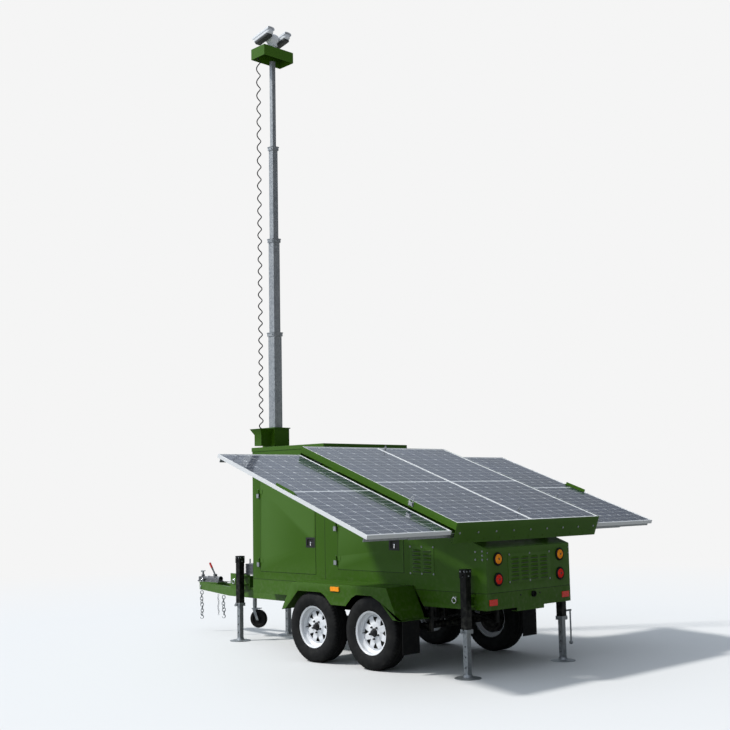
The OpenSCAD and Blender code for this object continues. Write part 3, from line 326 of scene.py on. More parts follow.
def lens_glass():
    f = Finish("lens_glass", coat_weight=1.0, coat_roughness=0.02, metallic=0.2)
    f.colour(f.mix(f.noise(30, 3), (0.008, 0.009, 0.016), (0.025, 0.02, 0.05)))
    f.rough(f.band(f.noise(60, 3), 0.3, 0.7, 0.05, 0.12))
    return f.material


MATERIALS = {
    "green_paint": painted("green_paint", (0.034, 0.094, 0.0035), (0.040, 0.106, 0.0050)),
    "black_paint": painted("black_paint", (0.0035, 0.0035, 0.0035), (0.006, 0.006, 0.006), roughness=0.42),
    "grey_paint": painted("grey_paint", (0.10, 0.105, 0.115), (0.145, 0.15, 0.16), roughness=0.42),
    "white_paint": painted("white_paint", (0.72, 0.74, 0.77), (0.78, 0.79, 0.82), roughness=0.28, dirt=0.1),
    "red_paint": painted("red_paint", (0.42, 0.02, 0.02), (0.5, 0.03, 0.025), roughness=0.4),
    "galvanised": galvanised_steel(),
    "aluminium": brushed_aluminium(),
    "tyre_rubber": moulded_rubber("tyre_rubber", 0.009, 0.016),
    "black_rubber": moulded_rubber("black_rubber", 0.006, 0.010, 0.6),
    "black_plastic": moulded_plastic("black_plastic", (0.010, 0.010, 0.011), (0.018, 0.018, 0.019), 0.36),
    "dark_plastic": moulded_plastic("dark_plastic", (0.035, 0.037, 0.038), (0.055, 0.057, 0.058), 0.5),
    "white_plastic": moulded_plastic("white_plastic", (0.60, 0.62, 0.65), (0.68, 0.70, 0.73), 0.36),
    "battery_case": moulded_plastic("battery_case", (0.020, 0.022, 0.028), (0.034, 0.036, 0.044), 0.5, 500),
    "equipment_case": moulded_plastic("equipment_case", (0.50, 0.51, 0.52), (0.58, 0.59, 0.60), 0.45, 500),
    "cable_sheath": moulded_rubber("cable_sheath", 0.009, 0.02, 0.42),
    "chrome": polished_chrome(),
    "amber_lens": lamp_lens("amber_lens", (1.0, 0.36, 0.004), (0.85, 0.20, 0.001)),
    "red_lens": lamp_lens("red_lens", (0.80, 0.020, 0.006), (0.55, 0.004, 0.002)),
    "solar_module": solar_cell(),
    "backsheet": backsheet(),
    "lens_glass": lens_glass(),
}


# ---- Mesh building ---------------------------------------------------------------------------

def aligned(origin, axis):
    """Matrix that puts local Z along axis, with its origin at origin."""
    return Matrix.Translation(origin) @ Vector(axis).to_track_quat("Z", "Y").to_matrix().to_4x4()


def smoothstep(t):
    t = max(0.0, min(1.0, t))
    return t * t * (3 - 2 * t)


def fillet(points, radius, steps=6):
    """Closed 2D outline with its corners rounded. radius is one number or one for each corner."""
    count = len(points)
    radii = radius if isinstance(radius, (list, tuple)) else [radius] * count
    out = []
    for i, point in enumerate(points):
        here = Vector(point)
        before = Vector(points[i - 1]) - here
        after = Vector(points[(i + 1) % count]) - here
        turn = before.angle(after)
        reach = min(radii[i] / max(math.tan(turn / 2), 1e-4), before.length * 0.49, after.length * 0.49)
        if radii[i] <= 0 or reach < 1e-5 or turn > math.pi - 0.02:
            out.append(tuple(here))
            continue
        start = here + before.normalized() * reach
        end = here + after.normalized() * reach
        for k in range(steps + 1):
            t = k / steps
            out.append(tuple(start * (1 - t) ** 2 + here * 2 * t * (1 - t) + end * t * t))
    return out


def rounded(width, height, radius, middle=(0, 0), steps=6):
    """Rounded rectangle as a 2D outline."""
    (a, b), w, h = middle, width / 2, height / 2
    return fillet([(a - w, b - h), (a + w, b - h), (a + w, b + h), (a - w, b + h)], radius, steps)


class Shape:
    """A mesh under construction. Points pass through place on their way in."""

    def __init__(self, place=None):
        self.bm = bmesh.new()
        self.place = place or Matrix.Identity(4)

    def add(self, points, faces, index=0):
        verts = [self.bm.verts.new(self.place @ Vector(p)) for p in points]
        made = []
        for face in faces:
            f = self.bm.faces.new([verts[i] for i in face])
            f.material_index = index
            made.append(f)
        return made

    def box(self, low, high, index=0):
        (a, b, c), (d, e, f) = low, high
        points = [(x, y, z) for z in (c, f) for y in (b, e) for x in (a, d)]
        faces = [(0, 2, 3, 1), (4, 5, 7, 6), (0, 1, 5, 4), (2, 6, 7, 3), (0, 4, 6, 2), (1, 3, 7, 5)]
        return self.add(points, faces, index)

    def middle_box(self, centre, size, index=0):
        c, half = Vector(centre), Vector(size) / 2
        return self.box(c - half, c + half, index)

    def loft(self, rings, closed=False, caps=True, index=0):
        """Skin over rings of points, each ring with the same count."""
        count = len(rings[0])
        points = [p for ring in rings for p in ring]
        faces = []
        last = len(rings) if closed else len(rings) - 1
        for i in range(last):
            a, b = i * count, ((i + 1) % len(rings)) * count
            for k in range(count):
                n = (k + 1) % count
                faces.append((a + k, a + n, b + n, b + k))
        if caps and not closed:
            faces.append(tuple(reversed(range(count))))
            faces.append(tuple((len(rings) - 1) * count + k for k in range(count)))
        return self.add(points, faces, index)

    def lathe(self, profile, origin=(0, 0, 0), axis=UP, sides=48, closed=False, index=0, wobble=None):
        """Profile of (height, radius) turned round the axis. wobble(side, height, radius) gives a radius."""
        m = aligned(origin, axis)
        rings = []
        for h, r in profile:
            ring = []
            for k in range(sides):
                a = 2 * math.pi * k / sides
                radius = max(r, 1e-5) if wobble is None else wobble(k, h, r)
                ring.append(m @ Vector((radius * math.cos(a), radius * math.sin(a), h)))
            rings.append(ring)
        return self.loft(rings, closed=closed, caps=not closed, index=index)

    def rod(self, start, end, radius, sides=20, end_radius=None, index=0):
        start, end = Vector(start), Vector(end)
        axis = end - start
        far = radius if end_radius is None else end_radius
        return self.lathe([(0, radius), (axis.length, far)], start, axis, sides, index=index)

    def tube(self, path, radius, sides=12, closed=False, index=0):
        """Round wire along a path. radius is one number or a function of the place from 0 to 1."""
        path = [Vector(p) for p in path]
        count = len(path)
        rings = []
        normal = None
        for i, p in enumerate(path):
            if closed:
                along = (path[(i + 1) % count] - path[i - 1]).normalized()
            else:
                along = (path[min(i + 1, count - 1)] - path[max(i - 1, 0)]).normalized()
            if normal is None:
                normal = along.orthogonal().normalized()
            normal = (normal - along * normal.dot(along)).normalized()
            side = along.cross(normal)
            r = radius(i / (count - 1)) if callable(radius) else radius
            turns = [2 * math.pi * k / sides for k in range(sides)]
            rings.append([p + normal * (r * math.cos(a)) + side * (r * math.sin(a)) for a in turns])
        return self.loft(rings, closed=closed, index=index)

    def ring(self, centre, axis, radius, wire, sides=12, around=40, index=0):
        m = aligned(centre, axis)
        steps = [2 * math.pi * k / around for k in range(around)]
        path = [m @ Vector((radius * math.cos(a), radius * math.sin(a), 0)) for a in steps]
        return self.tube(path, wire, sides, closed=True, index=index)

    def plate(self, outline, thickness, holes=(), place=None, index=0):
        """Flat plate from a 2D outline with holes, its thickness along local Z."""
        m = place or Matrix.Identity(4)
        flat = bmesh.new()
        for loop in [outline, *holes]:
            verts = [flat.verts.new((p[0], p[1], 0)) for p in loop]
            for i, v in enumerate(verts):
                flat.edges.new((verts[i - 1], v))
        bmesh.ops.triangle_fill(flat, use_beauty=True, use_dissolve=False, edges=flat.edges[:])
        bmesh.ops.dissolve_limit(
            flat, angle_limit=0.01, use_dissolve_boundaries=False, verts=flat.verts[:], edges=flat.edges[:]
        )
        bmesh.ops.recalc_face_normals(flat, faces=flat.faces[:])
        if flat.faces and flat.faces[:][0].normal.z < 0:
            bmesh.ops.reverse_faces(flat, faces=flat.faces[:])
        flat.verts.index_update()
        low = [self.bm.verts.new(self.place @ m @ v.co) for v in flat.verts]
        high = [self.bm.verts.new(self.place @ m @ (v.co + Vector((0, 0, thickness)))) for v in flat.verts]
        for face in flat.faces:
            ids = [v.index for v in face.verts]
            self.bm.faces.new([high[i] for i in ids]).material_index = index
            self.bm.faces.new([low[i] for i in reversed(ids)]).material_index = index
        for edge in flat.edges:
            if len(edge.link_faces) == 1:
                loop = edge.link_loops[0]
                a, b = loop.vert.index, loop.link_loop_next.vert.index
                self.bm.faces.new([low[a], low[b], high[b], high[a]]).material_index = index
        flat.free()

    def bolt(self, base, axis, across=0.013, height=0.006, index=0):
        """Hexagon head on a washer."""
        base, axis = Vector(base), Vector(axis).normalized()
        washer = height * 0.3
        self.lathe([(0, across * 0.72), (washer, across * 0.72)], base, axis, 24, index=index)
        self.lathe(
            [(washer, across * 0.56), (height * 0.85, across * 0.56), (height, across * 0.46)],
            base, axis, 6, index=index,
        )

    def rivet(self, base, axis, radius=0.005, index=0):
        """Low domed head."""
        steps = [math.radians(a) for a in (0, 30, 60, 85)]
        dome = [(radius * 0.5 * math.sin(a), radius * math.cos(a)) for a in steps]
        self.lathe(dome, base, axis, 16, index=index)

    def done(self, name, body, finish, replaces=(), bevel=0.0, angle=35, more=(), smooth=True, segments=2):
        """Makes the object, gives it its finish and lets it ride on its body."""
        bmesh.ops.recalc_face_normals(self.bm, faces=self.bm.faces)
        mesh = bpy.data.meshes.new(name)
        self.bm.to_mesh(mesh)
        self.bm.free()
        return dress(mesh, name, body, finish, replaces, bevel, angle, more, smooth, segments)


def dress(mesh, name, body, finish, replaces, bevel, angle, more=(), smooth=True, segments=2):
    piece = bpy.data.objects.new(name, mesh)
    bpy.context.scene.collection.objects.link(piece)
    mesh.materials.clear()
    for key in (finish, *more):
        mesh.materials.append(MATERIALS[key])
    for polygon in mesh.polygons:
        polygon.use_smooth = smooth
    if bevel > 0:
        rounding = piece.modifiers.new("rounding", "BEVEL")
        rounding.width = bevel
        rounding.segments = segments
        rounding.limit_method = "ANGLE"
        rounding.angle_limit = math.radians(angle)
        level = piece.modifiers.new("flat_faces", "WEIGHTED_NORMAL")
        level.weight = 100
        level.keep_sharp = True
    if smooth:
        mesh.set_sharp_from_angle(angle=math.radians(max(angle, 30)))
    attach(piece, body)
    if replaces:
        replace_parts(piece, *([replaces] if isinstance(replaces, str) else replaces))
    return piece


BODY_OF = {node: body for body, nodes in frame["record"]["behaviour"]["bodies"].items() for node in nodes}
SLOT_OF = {row["node"]: row["material_slot"] for row in frame["record"]["subparts"]}


def soften(node, bevel=0.0015, finish=None, angle=35):
    """A copy of a CAD node with flat faces joined up and sharp edges rounded, standing for that node."""
    mesh = NODES[node].data.copy()
    bm = bmesh.new()
    bm.from_mesh(mesh)
    bmesh.ops.remove_doubles(bm, verts=bm.verts, dist=1e-5)
    bmesh.ops.dissolve_limit(bm, angle_limit=math.radians(0.4), verts=bm.verts, edges=bm.edges)
    bmesh.ops.recalc_face_normals(bm, faces=bm.faces)
    for face in bm.faces:
        face.material_index = 0
    bm.to_mesh(mesh)
    bm.free()
    return dress(mesh, node + "_body", BODY_OF[node], finish or SLOT_OF[node], node, bevel, angle)


# ---- Coiled cable ----------------------------------------------------------------------------

CABLE_AT = at(CAB_L + 0.36, 0.190, 0)
CABLE_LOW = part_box("coiled_cable")[0].z
CABLE_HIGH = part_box("coiled_cable")[1].z
CABLE_D = 0.013
COIL_R = 0.0215


def coil_path():
    """A helix whose turns open out towards the top, where they carry the weight of those below."""
    turns, steps = 32, 14
    path = []
    for i in range(turns * steps + 1):
        t = i / (turns * steps)
        z = CABLE_LOW + CABLE_D / 2 + (CABLE_HIGH - CABLE_LOW - CABLE_D) * (0.82 * t + 0.18 * t * t)
        a = 2 * math.pi * turns * t
        path.append(Vector((CABLE_AT.x + COIL_R * math.cos(a), CABLE_AT.y + COIL_R * math.sin(a), z)))
    return path


def coiled_cable():
    path = coil_path()
    shape = Shape()
    shape.tube(path, CABLE_D / 2, 10)
    cable = shape.done("mast_cable", "trailer", "cable_sheath", "coiled_cable")
    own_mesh(cable)


coiled_cable()


# ---- Wheels ----------------------------------------------------------------------------------

def tyre(node):
    """Ribbed tread with sipes across its shoulders, and moulded rings on the sidewalls."""
    low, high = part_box(node)
    centre = (low + high) / 2
    radius, half = (high.z - low.z) / 2, (high.y - low.y) / 2
    bead_r, bead_y, shoulder_y, shoulder_r = 0.190, 0.0745, 0.087, radius - 0.015
    pitches, per_pitch = 60, 4
    side = []
    for i in range(15):
        t = i / 14
        bulge = (half - 0.001 - (bead_y + shoulder_y) / 2) * math.sin(math.pi * t) ** 0.85
        ridge = 0.0013 if i in (2, 3, 9) else 0.0
        r = bead_r + (shoulder_r - bead_r) * t
        side.append((min(bead_y + (shoulder_y - bead_y) * t + bulge + ridge, half - 0.0003), r))
    crown = [(shoulder_y - 0.005, radius - 0.008), (0.076, radius - 0.003), (0.068, radius)]
    groove = 0.0045
    for middle in (0.044, 0.0):
        crown += [(middle + groove, radius), (middle + groove * 0.6, radius - 0.007)]
        if middle:
            crown += [(middle - groove * 0.6, radius - 0.007), (middle - groove, radius)]
    half_profile = side + crown
    inner = [(0.0625, bead_r), (0.0625, 0.214), (0.089, 0.246), (0.088, 0.286), (0.072, 0.318)]
    profile = [(-y, r) for y, r in half_profile] + [(y, r) for y, r in reversed(half_profile)]
    profile += inner + [(-y, r) for y, r in reversed(inner)]

    def sipes(k, y, r):
        on_rib = 0.050 < abs(y) < shoulder_y - 0.001 and r > radius - 0.010
        middle_rib = 0.006 < abs(y) < 0.040 and r > radius - 0.001
        if on_rib and k % per_pitch == 0:
            return r - 0.006
        if middle_rib and k % (per_pitch * 2) == 2:
            return r - 0.002
        return r

    shape = Shape()
    shape.lathe(profile, centre, LEFT, pitches * per_pitch, closed=True, wobble=sipes)
    shape.done(node + "_body", BODY_OF[node], "tyre_rubber", node, angle=50)


def wheel_disc(shape, outer_r, hub_r, z_of):
    """Pressed wheel centre with eight triangular windows that point at the hub."""
    windows, arc, straight, rings = 8, 8, 7, 4
    half = math.pi / windows
    mid_r, reach = 0.127, 0.0300

    def window_edge(direction):
        """Distance from the window's middle to its rounded edge in a direction."""
        total = 0.0
        for k in range(3):
            normal = Vector((math.cos(k * 2 * math.pi / 3), math.sin(k * 2 * math.pi / 3)))
            total += max(0.0, normal.dot(direction) / (reach * (0.62 if k == 0 else 0.60))) ** 9
        return total ** (-1 / 9)

    for w in range(windows):
        base = 2 * half * w
        outer = []
        for i in range(arc):
            outer.append((outer_r, -half + 2 * half * i / arc))
        for i in range(straight):
            outer.append((outer_r + (hub_r - outer_r) * i / straight, half))
        for i in range(arc):
            outer.append((hub_r, half - 2 * half * i / arc))
        for i in range(straight):
            outer.append((hub_r + (outer_r - hub_r) * i / straight, -half))
        loops = []
        centre = Vector((mid_r, 0))
        for k in range(rings + 1):
            loop = []
            for r, a in outer:
                point = Vector((r * math.cos(a), r * math.sin(a)))
                way = point - centre
                edge = centre + way.normalized() * window_edge(way.normalized())
                t = (k / rings) ** 0.7
                flat = point * (1 - t) + edge * t
                turned = Matrix.Rotation(base, 2) @ flat
                loop.append((turned.x, turned.y, z_of(flat.length) - (0.003 if k == rings else 0.0)))
            loops.append(loop)
        shape.loft(loops, caps=False)


def rim(node):
    """White wheel: rolled barrel, pressed disc, black hub cap and dark wheel nuts."""
    low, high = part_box(node)
    centre = (low + high) / 2
    outward = 1 if centre.y > 0 else -1
    place = Matrix.Translation(centre) @ Matrix.Rotation(-outward * math.pi / 2, 4, "X")
    half = (high.y - low.y) / 2
    seat, lip, well, wall = 0.190, 0.2035, 0.166, 0.004
    face = [
        (-half, lip), (-half + 0.004, lip), (-half + 0.009, seat), (-half + 0.030, seat),
        (-half + 0.044, well), (half - 0.062, well), (half - 0.046, seat), (half - 0.009, seat),
        (half - 0.004, lip), (half, lip),
    ]
    back = [
        (half, lip - wall), (half - 0.010, seat - wall), (half - 0.043, seat - wall),
        (half - 0.060, well - wall), (-half + 0.046, well - wall), (-half + 0.032, seat - wall),
        (-half, lip - wall),
    ]
    shape = Shape(place)
    shape.lathe(face + back, sides=96, closed=True)
    disc_z = 0.022

    def dish(r):
        """Hub pad proud, spokes sloping back to the barrel."""
        pad = 0.012 * (1 - smoothstep((r - 0.072) / 0.022))
        roll = 0.014 * smoothstep((r - 0.148) / 0.016)
        return disc_z + pad - roll + 0.004 * math.sin(math.pi * smoothstep((r - 0.09) / 0.06))

    wheel_disc(shape, well - wall + 0.001, 0.040, dish)
    bmesh.ops.remove_doubles(shape.bm, verts=shape.bm.verts, dist=2e-5)
    piece = shape.done(node + "_body", BODY_OF[node], "white_paint", node, bevel=0.0012, angle=28)
    thick = piece.modifiers.new("sheet", "SOLIDIFY")
    thick.thickness = 0.0035
    thick.offset = -1
    piece.modifiers.move(2, 0)
    drum = Shape(place)
    drum.lathe([(-0.060, 0.152), (0.004, 0.152), (0.008, 0.146), (0.008, 0.045)], sides=64)
    drum.done(node + "_drum", BODY_OF[node], "black_paint", bevel=0.0010)
    hub = Shape(place)
    hub.lathe(
        [(-0.030, 0.040), (0.0350, 0.040), (0.036, 0.029), (0.058, 0.027), (0.066, 0.023), (0.070, 0.014),
         (0.071, 0.0)],
        sides=48,
    )
    hub.done(node + "_hub", BODY_OF[node], "black_plastic", bevel=0.0015, angle=25)
    nuts = Shape(place)
    nut = [(0, 0.0115), (0.002, 0.0115), (0.003, 0.0095), (0.013, 0.0095), (0.015, 0.0078)]
    for k in range(5):
        a = 2 * math.pi * k / 5 + 0.3
        spot = Vector((0.057 * math.cos(a), 0.057 * math.sin(a), disc_z + 0.012))
        nuts.lathe(nut, spot, UP, 6)
        nuts.rod(spot, spot + Vector((0, 0, 0.019)), 0.0052, 14)
    nuts.done(node + "_nuts", BODY_OF[node], "dark_plastic", bevel=0.0006)
    valve = Shape(place)
    valve.rod((0.150, 0.012, disc_z - 0.01), (0.146, 0.012, disc_z + 0.028), 0.0045, 14, 0.0035)
    valve.done(node + "_valve", BODY_OF[node], "black_rubber")


for end in ("front", "rear"):
    for side in ("left", "right"):
        tyre(f"tyre_{end}_{side}")
        rim(f"rim_{end}_{side}")


# ---- Solar modules ---------------------------------------------------------------------------

def module_frame(shape, length, width, top, lip=0.011, depth=0.035, wall=0.002):
    """Four mitred aluminium rails with a lip over the glass and a foot flange."""
    corners = [(0, 0), (length, 0), (length, width), (0, width)]

    def inset(distance):
        return [(distance, distance), (length - distance, distance), (length - distance, width - distance),
                (distance, width - distance)]

    section = [(0, top), (lip, top), (lip, top - 0.0035), (wall, top - 0.0035), (wall, top - depth + wall),
               (0.022, top - depth + wall), (0.022, top - depth), (0, top - depth)]
    rings = [[(x, y, z) for x, y in (inset(d) if d else corners)] for d, z in section]
    shape.loft(rings, closed=True)


def cell_field(name, body, place, length, width, top, columns=6, rows=24):
    """Half cells with clipped corners, lying on the sheet under the glass, with a gap half way up."""
    margin_u, margin_v, gap, middle = 0.028, 0.018, 0.0050, 0.026
    size_u = (length - 2 * margin_u - middle - (rows - 2) * gap) / rows
    size_v = (width - 2 * margin_v - (columns - 1) * gap) / columns
    clip = 0.013
    shape = Shape(place)
    uv = shape.bm.loops.layers.uv.new("UVMap")
    for i in range(rows):
        u = margin_u + i * (size_u + gap) + (middle - gap if i >= rows // 2 else 0)
        for k in range(columns):
            v = margin_v + k * (size_v + gap)
            low_clip, high_clip = (clip, 0.0) if i % 2 == 0 else (0.0, clip)
            outline = [
                (u + low_clip, v), (u + size_u - high_clip, v), (u + size_u, v + high_clip),
                (u + size_u, v + size_v - high_clip), (u + size_u - high_clip, v + size_v),
                (u + low_clip, v + size_v), (u, v + size_v - low_clip), (u, v + low_clip),
            ]
            points = [p for n, p in enumerate(outline) if p != outline[n - 1]]
            for face in shape.add([(a, b, top) for a, b in points], [tuple(range(len(points)))]):
                for loop, (a, b) in zip(face.loops, points):
                    loop[uv].uv = ((a - u) / size_u, (b - v) / size_v)
    shape.done(name, body, "solar_module", smooth=False)


def solar_module(name, body, place, length, width, top, replaces):
    """One framed module: its lower corner at place's origin, its top at w = top."""
    rails = Shape(place)
    module_frame(rails, length, width, top)
    rails.done(name + "_rails", body, "aluminium", replaces, bevel=0.0006)
    sheet = Shape(place)
    sheet.box((0.0022, 0.0022, top - 0.0065), (length - 0.0022, width - 0.0022, top - 0.0036))
    sheet.done(name + "_sheet", body, "backsheet", smooth=False)
    cell_field(name + "_cells", body, place, length, width, top - 0.0032)
    box = Shape(place)
    for v in (0.25, 0.5, 0.75):
        box.middle_box((length / 2, width * v, top - 0.014), (0.095, 0.060, 0.016))
    for v in (0.25, 0.75):
        sag = [(length / 2 + 0.03 * i, width * v + 0.02 * math.sin(i * 1.3), top - 0.016) for i in range(9)]
        box.tube(sag, 0.003, 8)
    box.done(name + "_junctions", body, "black_plastic", bevel=0.002)


SLIDE_L = 2.107
SLIDE_W = 1.000
SLIDE_IN = TRAY_HALF + 0.017
SLIDE_DROP = 0.081
MODULE_T = 0.035


def fixed_modules():
    width = TRAY_HALF - 0.006
    for name, v in (("fixed_module_left", 0.001), ("fixed_module_right", -width - 0.001)):
        replaces = "fixed_modules" if name.endswith("left") else ()
        place = TRAY @ Matrix.Translation((0.004, v, 0))
        solar_module(name, "trailer", place, TRAY_L - 0.008, width, 0.0, replaces)


def slide_module(side):
    """The module that pulls out, with the bars that it hangs on and its handle."""
    s = 1 if side == "left" else -1
    body = "module_" + side
    u0 = (TRAY_L - SLIDE_L) / 2
    v0 = SLIDE_IN if s > 0 else -SLIDE_IN - SLIDE_W
    place = TRAY @ Matrix.Translation((u0, v0, 0))
    solar_module(f"slide_module_{side}", body, place, SLIDE_L, SLIDE_W, -SLIDE_DROP, "slide_module_" + side)
    mirrored = TRAY @ Matrix.Scale(s, 4, (0, 1, 0))
    bars = Shape(mirrored)
    z = -SLIDE_DROP - MODULE_T - 0.022
    near, far = SLIDE_IN + 0.006, SLIDE_IN + SLIDE_W - 0.006
    for edge, way in ((0.062, 1), (TRAY_L - 0.062, -1)):
        inner = edge - way * 0.0005
        outer = edge + way * 0.0055
        bars.box((min(inner, outer), near, z - 0.012), (max(inner, outer), far, z + 0.012))
        web = edge + way * 0.0025
        bars.box((min(web, outer), near, z + 0.012), (max(web, outer), far, -SLIDE_DROP - MODULE_T))
    bars.done(f"slide_bars_{side}", body, "galvanised", bevel=0.0008)
    handle = Shape(mirrored)
    middle, edge, reach = TRAY_L / 2 + s * 0.035, SLIDE_IN + SLIDE_W, 0.260
    outline = fillet([(0, 0), (reach, 0), (reach, 0.040), (0, 0.040)], 0.006)
    handle.plate(outline, 0.003, place=Matrix.Translation((middle - reach / 2, edge - 0.040, -SLIDE_DROP)))
    turn = Matrix.Rotation(math.pi / 2, 4, "X")
    upright = Matrix.Translation((middle - reach / 2, edge - 0.002, -SLIDE_DROP)) @ turn
    tab = fillet([(0, 0), (reach, 0), (reach, 0.026), (0, 0.026)], [0, 0, 0.008, 0.008])
    handle.plate(tab, 0.003, (), upright)
    for u in (-0.10, 0.10):
        handle.bolt((middle + u, edge - 0.028, -SLIDE_DROP + 0.003), (0, 0, 1), 0.010, 0.005)
    handle.done(f"slide_handle_{side}", body, "green_paint", bevel=0.0008)


fixed_modules()
for side in ("left", "right"):
    slide_module(side)


# ---- Bolts, lamps and louvres ------------------------------------------------------------------

SIDE_LOUVRE_X = 0.779
SHEET = 0.003
AMBER_Z, RED_Z, LAMP_Y, LAMP_R = 1.026, 0.847, 0.450, 0.048


def louvre(shape, place, length, height, depth):
    """Pressed hood, proud of its sheet along its lower edge, with closed rounded ends."""
    shape.place = place
    rings = []
    for i in range(13):
        t = -1 + i / 6
        swell = math.sqrt(max(0.0, 1 - abs(t) ** 3)) + 0.02
        x, h, d = t * length / 2, height * (0.35 + 0.65 * swell), depth * swell
        rings.append([(x, -0.0004, h), (x, d * 0.55, h * 0.62), (x, d * 0.95, h * 0.2), (x, d, 0),
                      (x, d - 0.0016, 0), (x, -0.0004, h * 0.25)])
    shape.loft(rings)


def louvre_field(name, place, columns, rows, width, height):
    """Rows of louvres and the bolts round their panel, on a wall whose outside is local +Y."""
    hoods = Shape()
    pitch_x, pitch_z = width / columns, height / rows
    for i in range(columns):
        for k in range(rows):
            spot = (-width / 2 + pitch_x * (i + 0.5), 0, -height / 2 + pitch_z * (k + 0.22))
            louvre(hoods, place @ Matrix.Translation(spot), pitch_x * 0.80, pitch_z * 0.50, 0.012)
    hoods.done(name + "_hoods", "trailer", "green_paint", bevel=0.0006, angle=30)
    # Black boxes in the openings under the louvre lips: painted shade inside the slots, where no opening is
    # cut
    painted_shade_slots = Shape(place)
    for i in range(columns):
        for k in range(rows):
            x = -width / 2 + pitch_x * (i + 0.5)
            z = -height / 2 + pitch_z * (k + 0.22)
            painted_shade_slots.box((x - pitch_x * 0.36, -0.0002, z - 0.0075), (x + pitch_x * 0.36, 0.0006, z + 0.004))
    painted_shade_slots.done(name + "_slots", "trailer", "black_plastic", smooth=False)
    heads = Shape(place)
    for x in (-1, 0, 1):
        for z in (-1, 1):
            heads.bolt((x * (width / 2 + 0.012), 0, z * (height / 2 + 0.010)), LEFT, 0.013, 0.006)
    heads.done(name + "_bolts", "trailer", "galvanised")


def wall_place(origin, outward):
    """Local X along the wall, local Y out of it."""
    y = Vector(outward).normalized()
    x = y.cross(UP)
    m = Matrix((x, y, UP)).transposed().to_4x4()
    return Matrix.Translation(origin) @ m


def louvred_walls():
    """Rear wall with its lamp holes, and the flat panels that carry the louvres."""
    shape = Shape()
    low, high = SEAM_Z, REAR_TOP - SHEET
    holes = []
    for y in (-LAMP_Y, LAMP_Y):
        for z in (AMBER_Z, RED_Z):
            turns = [2 * math.pi * k / 40 for k in range(40)]
            holes.append([(y + LAMP_R * 1.02 * math.cos(a), z + LAMP_R * 1.02 * math.sin(a)) for a in turns])
    wall = [(-HALF_W, low), (HALF_W, low), (HALF_W, high), (-HALF_W, high)]
    upright = Matrix(((0, 0, 1, 0), (1, 0, 0, 0), (0, 1, 0, 0), (0, 0, 0, 1)))
    shape.plate(wall, SHEET, holes, Matrix.Translation(at(0, 0, 0)) @ upright)
    shape.box(at(-SHEET, -0.308, SEAM_Z + 0.075), at(0, 0.308, SEAM_Z + 0.334))
    for s in (-1, 1):
        y = s * HALF_W
        a = at(SIDE_LOUVRE_X - 0.152, y, SEAM_Z + 0.141)
        b = at(SIDE_LOUVRE_X + 0.152, y + s * SHEET, SEAM_Z + 0.398)
        shape.box([min(p) for p in zip(a, b)], [max(p) for p in zip(a, b)])
    shape.done("louvred_walls", "trailer", "green_paint", "louvre_panels", bevel=0.0008)


def lamp(name, lens, y, z):
    """Round lamp in a thick rubber grommet, with ringed prisms round a small reflector."""
    spot = at(-0.0105, y, z)
    ring = Shape()
    section = [(0, LAMP_R + 0.012), (0.006, LAMP_R + 0.012), (0.012, LAMP_R + 0.007), (0.013, LAMP_R + 0.001),
               (0.010, LAMP_R - 0.003), (0, LAMP_R - 0.003)]
    ring.lathe(section, spot + Vector((0.010, 0, 0)), -FORWARD, 48, closed=True)
    ring.done(name + "_grommet", "trailer", "black_rubber", bevel=0.0008)
    shape = Shape()
    profile = [(-0.006, LAMP_R - 0.0035), (0.0, LAMP_R - 0.0035), (0.004, LAMP_R - 0.008)]
    for k in range(5):
        r = LAMP_R - 0.010 - k * 0.0055
        profile += [(0.0055 + k * 0.0006, r), (0.0042 + k * 0.0006, r - 0.0028)]
    profile += [(0.0085, 0.010), (0.0095, 0.006), (0.0098, 0.0)]
    shape.lathe(profile, spot, -FORWARD, 48)
    shape.done(name + "_lens", "trailer", lens)
    core = Shape()
    core.lathe([(0.0086, 0.0095), (0.0100, 0.0090), (0.0106, 0.004), (0.0107, 0)], spot, -FORWARD, 24)
    for turn in (0.6, 2.6):
        side = Vector((0, math.cos(turn), math.sin(turn))) * 0.016
        core.rod(spot + side + Vector((-0.0060, 0, 0)), spot + side + Vector((-0.0082, 0, 0)), 0.003, 12)
    core.done(name + "_core", "trailer", "dark_plastic")


def rear_corner_covers():
    """Small plates that close the rear ends of the frame's side channels."""
    covers = Shape()
    for s in (-1, 1):
        a = at(0.0005, s * (HALF_W - 0.058), FRAME_Z + 0.001)
        b = at(0.004, s * (HALF_W - 0.001), SEAM_Z - 0.002)
        covers.box([min(p) for p in zip(a, b)], [max(p) for p in zip(a, b)])
    covers.done("rear_corner_covers", "trailer", "green_paint", bevel=0.0006)


def bolt_rows():
    """Heads on the tray's rear fascia, the cabinet's rear corners and the rear beam."""
    heads = Shape(TRAY)
    for i in range(9):
        y = (i - 4) * TRAY_HALF * 0.235
        heads.bolt((0, y, -0.095), (-1, 0, 0), 0.014, 0.006)
    heads.done("fascia_bolts", "trailer", "galvanised")
    corner = Shape()
    for s in (-1, 1):
        for x, z in ((0.045, 1.098), (0.044, 1.062), (0.044, 1.024), (0.125, 1.092), (0.125, 1.024)):
            corner.bolt(at(x, s * HALF_W, z), (0, s, 0), 0.013, 0.006)
        for z in (1.085, 1.030):
            corner.bolt(at(0, s * (HALF_W - 0.014), z), (-1, 0, 0), 0.010, 0.005)
    corner.done("corner_bolts", "trailer", "galvanised")
    slits = Shape()
    for s in (-1, 1):
        slits.bolt(at(0, s * 0.14, REAR_SKIRT_Z), (-1, 0, 0), 0.012, 0.003)
    slits.done("beam_bolts", "trailer", "black_plastic")


